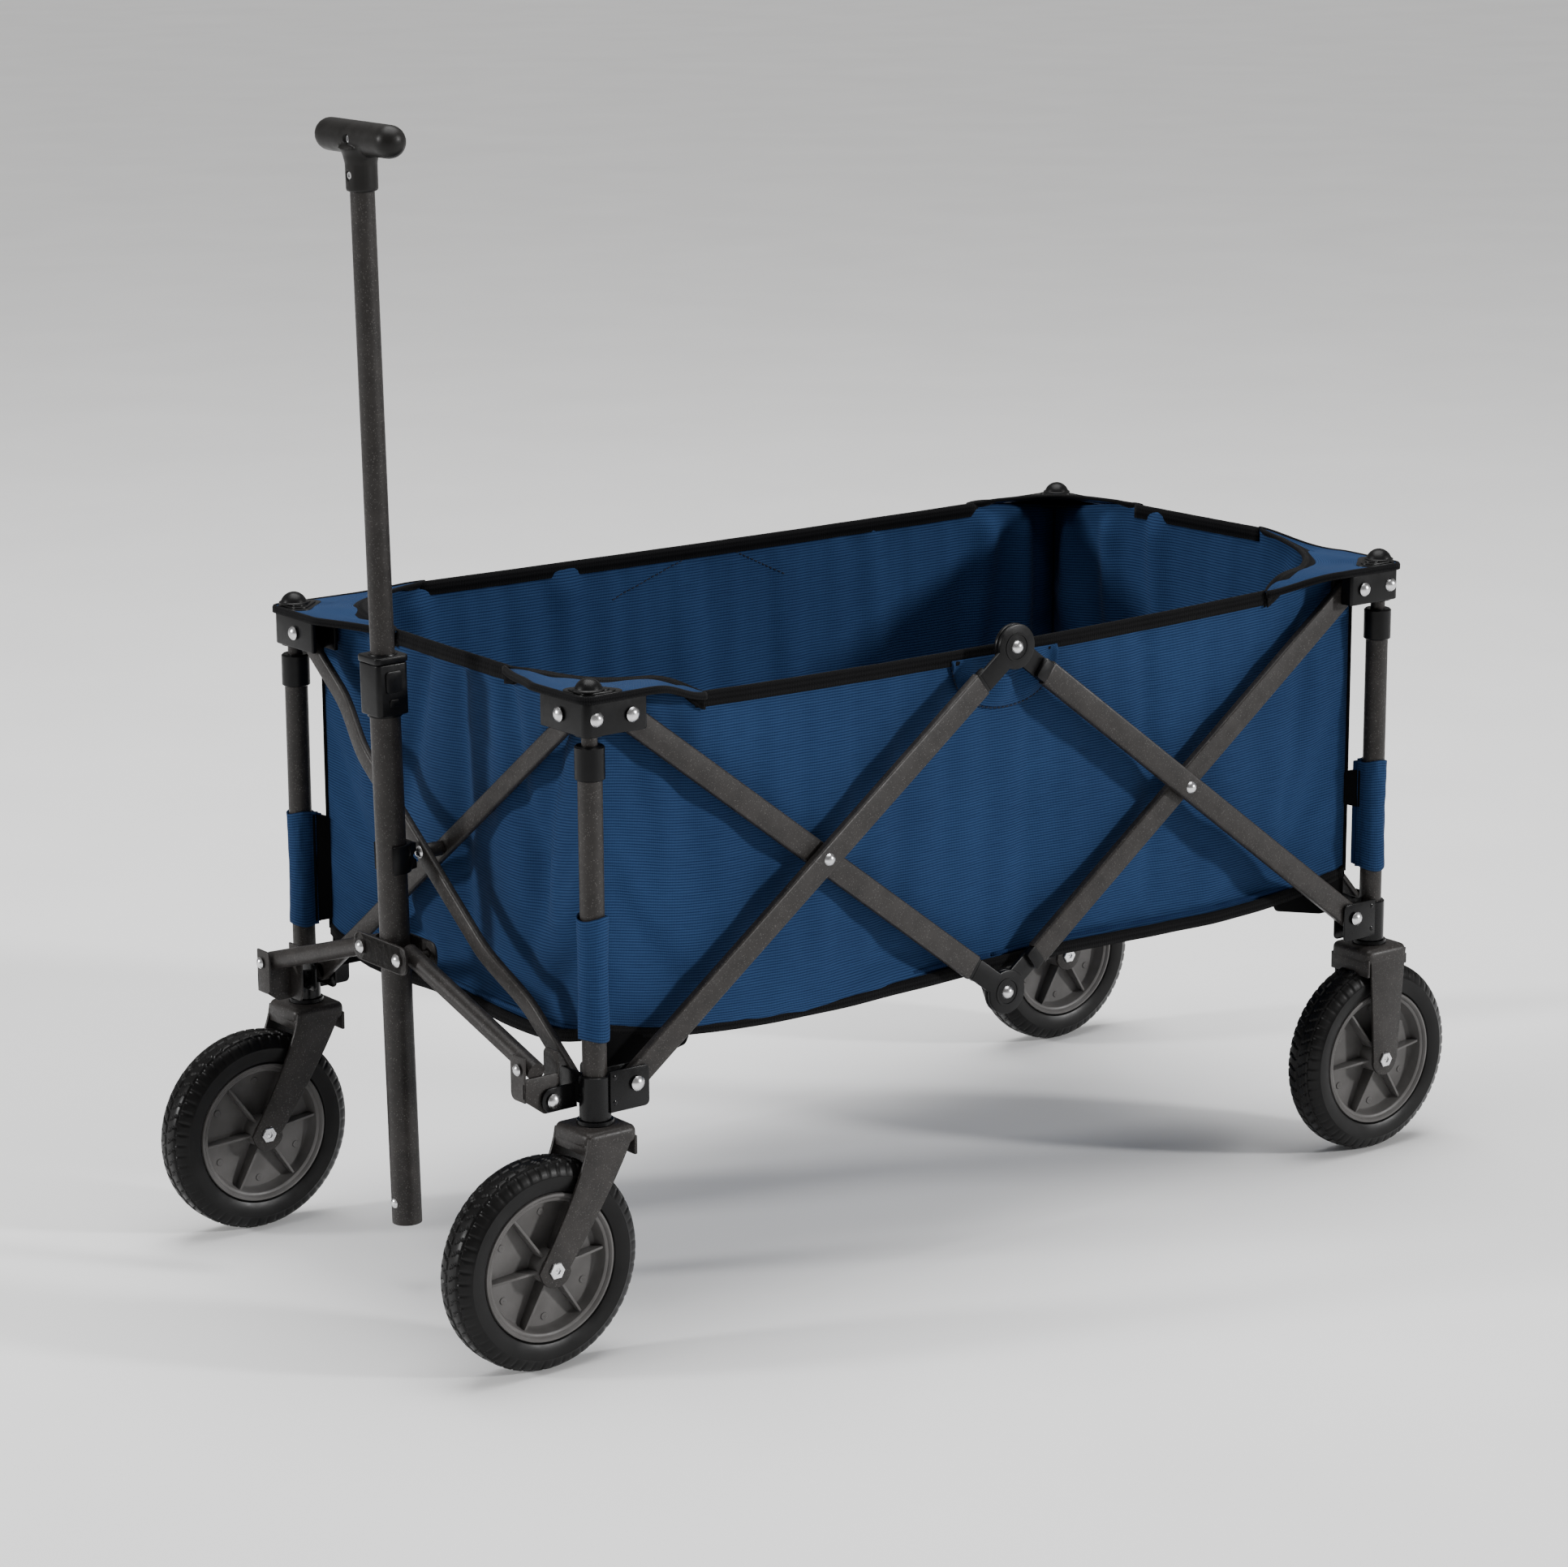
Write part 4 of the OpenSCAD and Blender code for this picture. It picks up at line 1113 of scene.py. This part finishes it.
def build_top_brackets():
    shell = round_corners([(SIDE_WING, 0.0012), (0.009, 0.0012), (0.009, END_WING),
                           (0.013, END_WING), (0.013, 0.014), (SIDE_WING, 0.014)],
                          [0.0004, 0.001, 0.0004, 0.0018, 0.007, 0.003])
    lid = round_corners([(0.0125, 0.0135), (SIDE_WING + 0.001, 0.0135), (SIDE_WING + 0.001, -0.010),
                         (-0.010, END_WING + 0.001), (0.0125, END_WING + 0.001)], 0.003, 3)
    plate = [(0.0120, 0.0130), (-0.0430, 0.0130), (0.0120, -0.0370)]
    seat = [(0.0128, 0.0), (0.0128, 0.0010), (0.0116, 0.0018)]
    dome = seat + [(r, h + 0.0018) for r, h in dome_profile(0.0112, 0.0080)]
    # share of the plate, height above the bracket
    rings = ((1.0, 0.0044), (0.80, 0.0056), (0.62, 0.0067))
    for corner in POST:
        m = corner_matrix(corner)
        bm = bmesh.new()
        outline_solid(bm, shell, TOP_LOW, TOP_HIGH, m, bevel=0.0014, segments=3)
        for x0, y0, x1, y1 in ((SIDE_WING, -0.0125, 0.0, -0.009), (-0.013, END_WING, -0.009, 0.0)):
            outline_solid(bm, rounded_rect(x0, y0, x1, y1, 0.001, 2), TOP_LOW, TOP_HIGH, m, bevel=0.001)
        outline_solid(bm, arc(0, 0, 0.0118, 0, 360, 40)[:-1], TOP_LOW - 0.0012, TOP_HIGH, m, bevel=0.0010)
        outline_solid(bm, lid, TOP_HIGH - 0.002, TOP_HIGH + 0.0004, m, bevel=0.0005)
        finish_solid("top_bracket_shell_" + corner, bm, BLACK, "top_" + corner,
                     "top_bracket_" + corner)
        bm = bmesh.new()
        for scale, z in rings:
            ring = round_corners([(x * scale, y * scale) for x, y in plate], 0.0095 * scale, 8)
            outline_solid(bm, ring, TOP_HIGH + 0.0016, TOP_HIGH + z, m, bevel=0.0005)
        lathe(bm, dome, 40, m @ Matrix.Translation((0, 0, TOP_HIGH + rings[-1][1] - 0.0004)))
        finish_solid("cap_" + corner, bm, BLACK, "top_" + corner)


def flap_edges(u):
    """Inner and outer edge of a corner flap at u from 0 to 1, as (x, y) from the post's axis."""
    start, end = Vector((FLAP_REACH[0], -0.0145)), Vector((-0.0145, FLAP_REACH[1]))
    bow = -0.026 * math.sin(math.pi * u) ** 1.5
    inner = start.lerp(end, u) + Vector((-bow, -bow))
    path = [tuple(start), (-0.058, 0.0135), (0.0140, 0.0155), (0.0145, -0.058), tuple(end)]
    smooth = round_corners(path, [0, 0.030, 0.009, 0.024, 0], 8)
    pts = [Vector(p) for p in smooth]
    lengths = [(b - a).length for a, b in zip(pts, pts[1:])]
    want = u * sum(lengths)
    for a, b, l in zip(pts, pts[1:], lengths):
        if want <= l or b is pts[-1]:
            return inner, a.lerp(b, min(1, want / l))
        want -= l


def flap_rims(corner):
    """Heights of the side's rim and the end's rim where a corner's flap starts and stops."""
    sx, sy = SIGN[corner]
    side = "near" if sy < 0 else "far"
    end = "front" if sx < 0 else "rear"
    return rim_height(side, sx * flap_end(side)), rim_height(end, sy * flap_end(end))


def flap_point(corner, u, v):
    """A point of the flap: v runs from the inside strap to the outer edge."""
    inner, outer = flap_edges(u)
    low, high = flap_rims(corner)
    line = low + (high - low) * u
    t = min(1, min(u, 1 - u) / 0.27)
    rise = t * t * (3 - 2 * t)
    z_outer = line + (TOP_HIGH + 0.0032 - line) * rise
    z_inner = line + max(0.0, TOP_HIGH - 0.0010 - line) * rise ** 0.8
    xy = inner.lerp(outer, v)
    mix = min(1, v * 1.5)
    ripple = 0.0016 * math.sin(u * 23 + 3 * v) * math.sin(math.pi * min(1, v * 1.4)) * (1 - mix)
    return Vector((xy.x, xy.y, z_inner + (z_outer - z_inner) * mix + ripple))


STRAP_TILT = 72     # degrees by which the inside strap lies back from upright
FLAP_EDGES = (
    # share across the flap, width, thickness, name
    (1.0, 0.0062, 0.0044, "flap_tape_"),
    (0.0, 0.0150, 0.0036, "corner_strap_"),
)


def build_flaps():
    """Cloth flap over each top bracket, bound with tape, and the strap across the inside of the corner."""
    nu, nv = 72, 14
    for corner in POST:
        m = corner_matrix(corner)
        bm = bmesh.new()
        grid_sheet(bm, nu, nv, lambda u, v: m @ flap_point(corner, u, v), (0.24, 0.09))
        flap = make("corner_flap_" + corner, bm, CLOTH)
        thicken(flap, THIN_T, 0)
        turn = m.to_3x3()
        edges = []
        for v, width, thick, name in FLAP_EDGES:
            path = [flap_point(corner, i / nu, v) for i in range(nu + 1)]
            placed, normals, ups = [], [], []
            for i, p in enumerate(path):
                d = path[min(nu, i + 1)] - path[max(0, i - 1)]
                n = Vector((d.y, -d.x, 0)).normalized()
                n = n if n.dot(Vector((1, 1, 0))) > 0 else -n
                flat = (1 - v) * math.radians(STRAP_TILT) * min(1, min(i, nu - i) / (0.16 * nu))
                up = Vector((0, 0, math.cos(flat))) - n * math.sin(flat)
                normals.append(turn @ (n * math.cos(flat) + Vector((0, 0, math.sin(flat)))))
                ups.append(turn @ up)
                placed.append(m @ (p + up * 0.0014 + Vector((0, 0, 0.0016 * math.sin(flat)))))
            edges.append(ribbon(name + corner, placed, normals, width, thick, TAPE, ups))
        for obj in [flap] + edges:
            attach(obj, "top_" + corner)
            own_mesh(obj)


# ---------------------------------------------------------------- posts
def build_posts():
    """Guide collars on the posts, and cloth sleeves with their tabs."""
    low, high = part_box("post_collar_fn")
    r = (high.x - low.x) / 2
    collar = [(0.0066, low.z), (r - 0.0012, low.z), (r, low.z + 0.0010), (r, high.z - 0.0014),
              (r - 0.0014, high.z), (0.0066, high.z)]
    for corner in POST:
        bm = bmesh.new()
        lathe(bm, collar, 48, Matrix.Translation(POST[corner]), closed=True)
        finish_solid("guide_collar_" + corner, bm, BLACK, "corner_" + corner,
                     "post_collar_" + corner)
        build_sleeve(corner)


INWARD = 225                                # a corner's diagonal into the tub, in degrees from its local X
SLEEVE_LOW, SLEEVE_HIGH = 0.266, 0.367
# black webbing, low and high
SLEEVE_TABS = {"ff": (0.268, 0.365), "rn": (0.322, 0.358), "rf": (0.322, 0.358)}


def build_sleeve(corner):
    """Cloth sleeve round a post, closed by a tab, with a web to the tub's corner."""
    m = corner_matrix(corner)
    height = SLEEVE_HIGH - SLEEVE_LOW
    r0 = POST_R + 0.0010
    bm = bmesh.new()
    gap = math.radians(22)

    def place(u, v):
        a = math.radians(INWARD) + gap / 2 + (2 * math.pi - gap) * u
        crease = noise.noise(Vector((3 * math.cos(a), 3 * math.sin(a), v * 7 + POST[corner].x * 5)))
        r = r0 + 0.0006 * (1 + crease) + 0.0004 * math.cos(2 * math.pi * v)
        z = SLEEVE_LOW + height * v + 0.0015 * math.sin(a * 2 + 1) * (1 - 2 * v)
        if u in (0, 1):
            r += 0.0030
        return m @ Vector((r * math.cos(a), r * math.sin(a), z))

    grid_sheet(bm, 40, 26, place, (2 * math.pi * r0, height))
    sleeve = make("post_sleeve_" + corner, bm, CLOTH)
    thicken(sleeve, THIN_T, 1)
    bm = bmesh.new()
    for s in (-1, 1):
        side = turned(INWARD, "Z") @ moved(0, s * 0.0010, 0) @ turned(90, "X")
        web = round_corners([(r0, SLEEVE_LOW + 0.001), (0.0185, SLEEVE_LOW + 0.004),
                             (0.0185, SLEEVE_HIGH - 0.002), (r0, SLEEVE_HIGH - 0.001)], 0.001, 2)
        outline_solid(bm, web, -0.0006, 0.0006, m @ side, bevel=0.0003)
    web = finish_solid("sleeve_web_" + corner, bm, CLOTH, None)
    pieces = [web]
    if corner in SLEEVE_TABS:
        low, high = SLEEVE_TABS[corner]
        bm = bmesh.new()
        tab = round_corners([(r0 + 0.0004, low), (0.0262, low + 0.003), (0.0262, high - 0.003),
                             (r0 + 0.0004, high)], 0.002, 3)
        diagonal = turned(INWARD, "Z") @ turned(90, "X")
        outline_solid(bm, tab, -0.0024, 0.0024, m @ diagonal, bevel=0.0006)
        band = (arc(0, 0, r0 + 0.0030, INWARD - 20, INWARD + 20, 10)
                + arc(0, 0, r0 + 0.0016, INWARD + 20, INWARD - 20, 10))
        outline_solid(bm, band, low + 0.001, high - 0.001, m, bevel=0.0004)
        pieces.append(finish_solid("sleeve_tab_" + corner, bm, TAPE, None))
    for obj in [sleeve] + pieces:
        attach(obj, "corner_" + corner)


# ---------------------------------------------------------------- bottom brackets and yoke
def build_bottom_brackets():
    """Folded plates welded to a sleeve, with the weld's spots."""
    pz = pivot("fold").z
    for corner in POST:
        m = corner_matrix(corner)
        front = corner[0] == "f"
        flip = m @ turned(90, "X")
        turn = m @ turned(90, "Z") @ turned(90, "X")
        bm = bmesh.new()
        ring = [(0.0101, 0.199), (0.0122, 0.199), (0.0130, 0.1998), (0.0130, 0.2352), (0.0122, 0.236),
                (0.0101, 0.236)]
        lathe(bm, ring, 48, m, closed=True)
        side = round_corners([(-0.0445, pz - 0.021), (-0.006, pz - 0.021), (-0.006, pz + 0.0135),
                              (-0.0445, pz + 0.0135)],
                             [0.0045, 0, 0, 0.0045])
        for y0 in (0.0112, -0.0012):
            outline_solid(bm, side, -y0 - 0.0020, -y0, flip, bevel=0.0006)
        end = round_corners([(-0.0345, pz - 0.014), (-0.006, pz - 0.014), (-0.006, pz + 0.012),
                             (-0.0345, pz + 0.012)],
                            [0.006, 0, 0, 0.006])
        for x0 in (0.0091, -0.0112):
            outline_solid(bm, end, x0, x0 + 0.0021, turn, bevel=0.0005)
        if front:
            ear = round_corners([(0.009, 0.2075), (0.0425, 0.2075), (0.0425, 0.2275), (0.009, 0.2275)],
                                [0, 0.009, 0.009, 0])
            outline_solid(bm, ear, 0.0121, 0.0149, flip, bevel=0.0005)
        foot = [(0.0062, 0.1955), (0.0150, 0.1955), (0.0155, 0.1962), (0.0150, 0.1990), (0.0062, 0.1990)]
        lathe(bm, foot, 40, m, closed=True)
        for x, z in ((-0.0105, pz + 0.008), (-0.0105, pz - 0.013)):
            weld = m @ moved(x, 0.0132, z) @ turned(-90, "X")
            lathe(bm, dome_profile(0.0024, 0.0007, 4), 16, weld)
        finish_solid("bracket_shell_" + corner, bm, GLOSS, "corner_" + corner,
                     "bottom_bracket_" + corner)


YOKE_Y = (0.186, 0.206)     # a yoke bracket's inner and outer side, from the middle plane


def build_yoke():
    for word, s in (("near", -1), ("far", 1)):
        low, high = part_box("yoke_bracket_" + word)
        tilt = pivot("handle_tilt")
        front, back = low.x + 0.002, high.x - 0.002
        y0, y1 = YOKE_Y
        m = Matrix.Diagonal((1, s, 1, 1))
        bm = bmesh.new()
        top = high.z
        wall = m @ turned(90, "Z") @ turned(90, "X")
        face = round_corners([(y0, tilt.z + 0.001), (y1, tilt.z + 0.001), (y1, top), (y0, top)],
                             [0.006, 0.001, 0.001, 0.006])
        outline_solid(bm, face, front, front + 0.002, wall, bevel=0.0006)
        rear = round_corners([(y0, low.z), (y1, low.z), (y1, top), (y0, top)], [0.006, 0.001, 0.001, 0.006])
        outline_solid(bm, rear, back - 0.002, back, wall, bevel=0.0006)
        cheek = round_corners([(back, low.z), (back, 0.238), (front, 0.238), (front, tilt.z + 0.003),
                               (tilt.x - 0.006, low.z)],
                              [0.002, 0.004, 0.004, 0.003, 0.004])
        outline_solid(bm, cheek, -y1, -y1 + 0.0025, m @ turned(90, "X"), bevel=0.0006)
        finish_solid("yoke_fork_" + word, bm, STEEL, "yoke_bracket_" + word,
                     "yoke_bracket_" + word)


# ---------------------------------------------------------------- handle
def build_grip(m):
    """T grip blended into its neck, with two screws let into its front."""
    low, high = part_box("handle_grip")
    half, z = high.y, high.z - GRIP_R
    ball = half - GRIP_R
    across = m @ moved(0, 0, z) @ turned(-90, "X")
    bm = bmesh.new()
    dome = [(max(1e-5, GRIP_R * math.cos(math.radians(a))),
             ball + GRIP_R * math.sin(math.radians(a))) for a in range(90, -1, -9)]
    lathe(bm, dome + [(r, -h) for r, h in reversed(dome)], 64, across)
    neck = [(0.00001, low.z), (0.0124, low.z), (0.0132, low.z + 0.0010), (0.0133, z - 0.020),
            (0.0150, z - 0.0120), (0.0185, z - 0.0070), (0.0060, z), (0.00001, z)]
    lathe(bm, neck, 64, m @ Matrix.Diagonal((0.98, 1.0, 1, 1)))
    grip = finish_solid("t_grip", bm, GRIP, "handle_upper", "handle_grip")
    modify(grip, "REMESH", mode="VOXEL", voxel_size=0.0011, use_smooth_shade=True)
    modify(grip, "SMOOTH", factor=0.5, iterations=7)
    wells = bmesh.new()
    screws = bmesh.new()
    for height, depth in ((z, 0.0040), (z - 0.029, 0.0036)):
        spot = m @ moved(-GRIP_R, 0, height) @ turned(-90, "Y")
        lathe(wells, [(0.00001, -depth), (0.0040, -depth), (0.0044, 0.004), (0.00001, 0.004)], 32, spot)
        head = [(0.0038, -depth - 0.0002), (0.0038, 0.0012 - depth), (0.0031, 0.0018 - depth),
                (0.0016, 0.0018 - depth), (0.0015, 0.0008 - depth), (0.00001, 0.0008 - depth)]
        lathe(screws, head, 6, spot)
    cutter = make("grip_wells", wells, GRIP)
    modify(grip, "BOOLEAN", operation="DIFFERENCE", object=cutter, solver="EXACT")
    apply_modifiers(grip)
    bpy.data.objects.remove(cutter)
    finish_solid("grip_screws", screws, METAL, "handle_upper")


def build_lock(m):
    """Square lock case at the top of the outer tube, with its lid, spout and push button."""
    low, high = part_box("handle_lock_collar")
    half = 0.0150
    top = high.z
    bm = bmesh.new()
    case = rounded_rect(-half, -half, half, half, 0.0042, 5)
    outline_solid(bm, case, low.z, top - 0.0062, m, bevel=0.0012, segments=3)
    brim = half + 0.0008
    lid = rounded_rect(-brim, -brim, brim, brim, 0.0045, 5)
    outline_solid(bm, lid, top - 0.0058, top, m, bevel=0.0012, segments=3)
    spout = [(0.0101, top - 0.001), (0.0126, top - 0.001), (0.0120, top + 0.0010), (0.0103, top + 0.0010)]
    lathe(bm, spout, 40, m, closed=True)
    foot = [(0.0129, low.z - 0.0018), (0.0144, low.z - 0.0018), (0.0144, low.z + 0.001),
            (0.0129, low.z + 0.001)]
    lathe(bm, foot, 48, m, closed=True)
    side = m @ turned(90, "X")
    button = rounded_rect(-0.0075, top - 0.030, 0.0075, top - 0.012, 0.0028, 5)
    outline_solid(bm, button, half - 0.001, half + 0.0016, side, bevel=0.0007)
    pad = rounded_rect(-0.0045, top - 0.042, 0.0045, top - 0.036, 0.0015, 3)
    outline_solid(bm, pad, half - 0.001, half + 0.0009, side, bevel=0.0004)
    finish_solid("lock_case", bm, BLACK, "handle", "handle_lock_collar")


CLIP_R, CLIP_WRAP = 0.0162, 118     # the snap clip's radius, and how far it wraps round to each side


def build_handle():
    m = handle_matrix()
    build_grip(m)
    build_lock(m)
    low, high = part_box("handle_clip")
    middle = (low.z + high.z) / 2
    shell = (arc(0, 0, CLIP_R, -CLIP_WRAP, CLIP_WRAP, 36)
             + arc(0, 0, OUTER_TUBE_R + 0.0003, CLIP_WRAP, -CLIP_WRAP, 36))
    bm = bmesh.new()
    outline_solid(bm, shell, middle - 0.012, middle + 0.012, m, bevel=0.0007)
    reach = 0.0196
    jaw = round_corners([(0.012, middle - 0.012), (reach, middle - 0.011), (reach, middle - 0.004),
                         (reach - 0.003, middle - 0.001), (reach - 0.003, middle + 0.001),
                         (reach, middle + 0.004), (reach, middle + 0.011), (0.012, middle + 0.012)],
                        0.0010, 2)
    outline_solid(bm, jaw, -0.0085, 0.0085, m @ turned(90, "X"), bevel=0.0010)
    finish_solid("snap_clip", bm, BLACK, "handle", "handle_clip")
    low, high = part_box("handle_bracket")
    top = pivot("yoke_far_top")
    half = (high.z - low.z) / 2
    out = abs(top.y) + half
    face = round_corners([(-out, top.z - half), (out, top.z - half), (out, top.z + half),
                          (-out, top.z + half)], 0.008, 6)
    wall = turned(90, "Z") @ turned(90, "X")
    bm = bmesh.new()
    head = 0.0020
    for x0 in (low.x + head, high.x - head - 0.0022):
        outline_solid(bm, face, x0, x0 + 0.0022, wall, bevel=0.0007)
    finish_solid("yoke_plates", bm, STEEL, "handle")


def soften(names, width):
    """Rounds the sharp edges of CAD nodes that show as they are."""
    for name in names:
        modify(frame["nodes"][name], "BEVEL", width=width, segments=3, limit_method="ANGLE",
               angle_limit=math.radians(40))


# ---------------------------------------------------------------- seams and trim on the tub
def on_cloth(obj, origin, direction):
    """Nearest point of a cloth from origin along direction."""
    hit, place, _, _ = obj.ray_cast(origin, direction)
    return place if hit else None


STITCH_PITCH, STITCH_LENGTH = 0.0046, 0.0030


def thread_solid(bm, length, m):
    """One length of thread, flat on the cloth."""
    outline_solid(bm, rounded_rect(-length / 2, -0.0005, length / 2, 0.0005, 0.0004, 2), -0.0004, 0.0004, m)


def stitch_line(bm, cloth, a, b, look):
    """Short thread stitches from a to b, laid on the cloth that look meets."""
    count = int((b - a).length / STITCH_PITCH)
    along = (b - a).normalized()
    for i in range(count):
        c = a + (b - a) * ((i + 0.5) / count)
        place = on_cloth(cloth, c, look)
        if place is None:
            continue
        m = axes_matrix(place - look * 0.0002, along, look.cross(along))
        thread_solid(bm, STITCH_LENGTH, m)


def build_stitching(walls):
    """The two slanting darts beside the middle hinge of each long wall."""
    for wall in ("near", "far"):
        normal, _, body, axis, anchor, keep = WALLS[wall][2:]
        out = Vector((*normal, 0))
        bm = bmesh.new()
        for sign in (-1, 1):
            high = Vector((MID_X + sign * 0.023, 0, rim_height(wall, 0) - RIM_TAPE + 0.004))
            low = Vector((MID_X + sign * 0.098 - 0.014, 0, high.z - 0.030))
            stitch_line(bm, walls[wall], high, low, out)
        obj = finish_solid("stitches_" + wall, bm, THREAD, None)
        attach(obj, body)
        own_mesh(obj)


def build_corner_seams():
    """Piped seam up each corner of the tub."""
    for corner, (sx, sy) in SIGN.items():
        bm = bmesh.new()
        steps = 24
        low, high = hem_height(1) + 0.004, CORNER_Z - 0.008
        seam = [(0.0017, low + (high - low) * i / steps) for i in range(steps + 1)]
        lathe(bm, seam, 12, Matrix.Translation((MID_X + sx * (WALL_X + 0.0008), sy * (WALL_Y + 0.0008), 0)))
        finish_solid("corner_piping_" + corner, bm, TAPE, "top_" + corner)


def build_pouches():
    """Half-moon gusset of spare cloth that puckers under each top middle hinge."""
    for word, s in (("near", -1), ("far", 1)):
        hinge = pivot("side_mid_top_" + word)
        bm = bmesh.new()
        width, drop = 0.116, 0.047

        def place(u, v, s=s, hinge=hinge):
            a = math.pi * u
            x = width / 2 * math.cos(a) * -1
            edge = -drop * math.sin(a) ** 0.8
            z = hinge.z - 0.010 + edge * v
            swell = math.sin(math.pi * v ** 1.3) * math.sin(a)
            pucker = 0.0024 * math.sin(a * 9 + 2 * v) * v * (1 - v) * 4
            y = s * (WALL_Y + 0.0018 + 0.0066 * swell + pucker)
            return Vector((hinge.x + 0.008 + x, y, z))

        grid_sheet(bm, 72, 16, place, (width * 1.2, drop))
        obj = make("hinge_gusset_" + word, bm, CLOTH)
        thicken(obj, THIN_T, 0)
        path = [place(i / 40, 1.0) for i in range(41)]
        bm = bmesh.new()
        for i in range(40):
            a, b = path[i], path[i + 1]
            if (b - a).length < 0.0015:
                continue
            m = axes_matrix((a + b) / 2 + Vector((0, s * 0.0008, 0)), b - a, Vector((0, s, 0)).cross(b - a))
            thread_solid(bm, 0.0028, m)
        thread = finish_solid("gusset_thread_" + word, bm, THREAD, None)
        body = WALLS[word][4]
        for piece in (obj, thread):
            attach(piece, body)
            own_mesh(piece)


walls = build_walls()
build_floor()
build_bindings(walls)
build_side_bars()
build_end_bars()
build_bracket_rivets()
build_wheels()
build_top_brackets()
build_flaps()
build_posts()
build_bottom_brackets()
build_yoke()
build_handle()
build_stitching(walls)
build_corner_seams()
build_pouches()
SOFTENED = ("post_tube", "yoke_tube", "handle_outer", "handle_inner")
soften([n for n in frame["nodes"] if n.startswith(SOFTENED)], 0.0006)


build_stage()
build_camera()
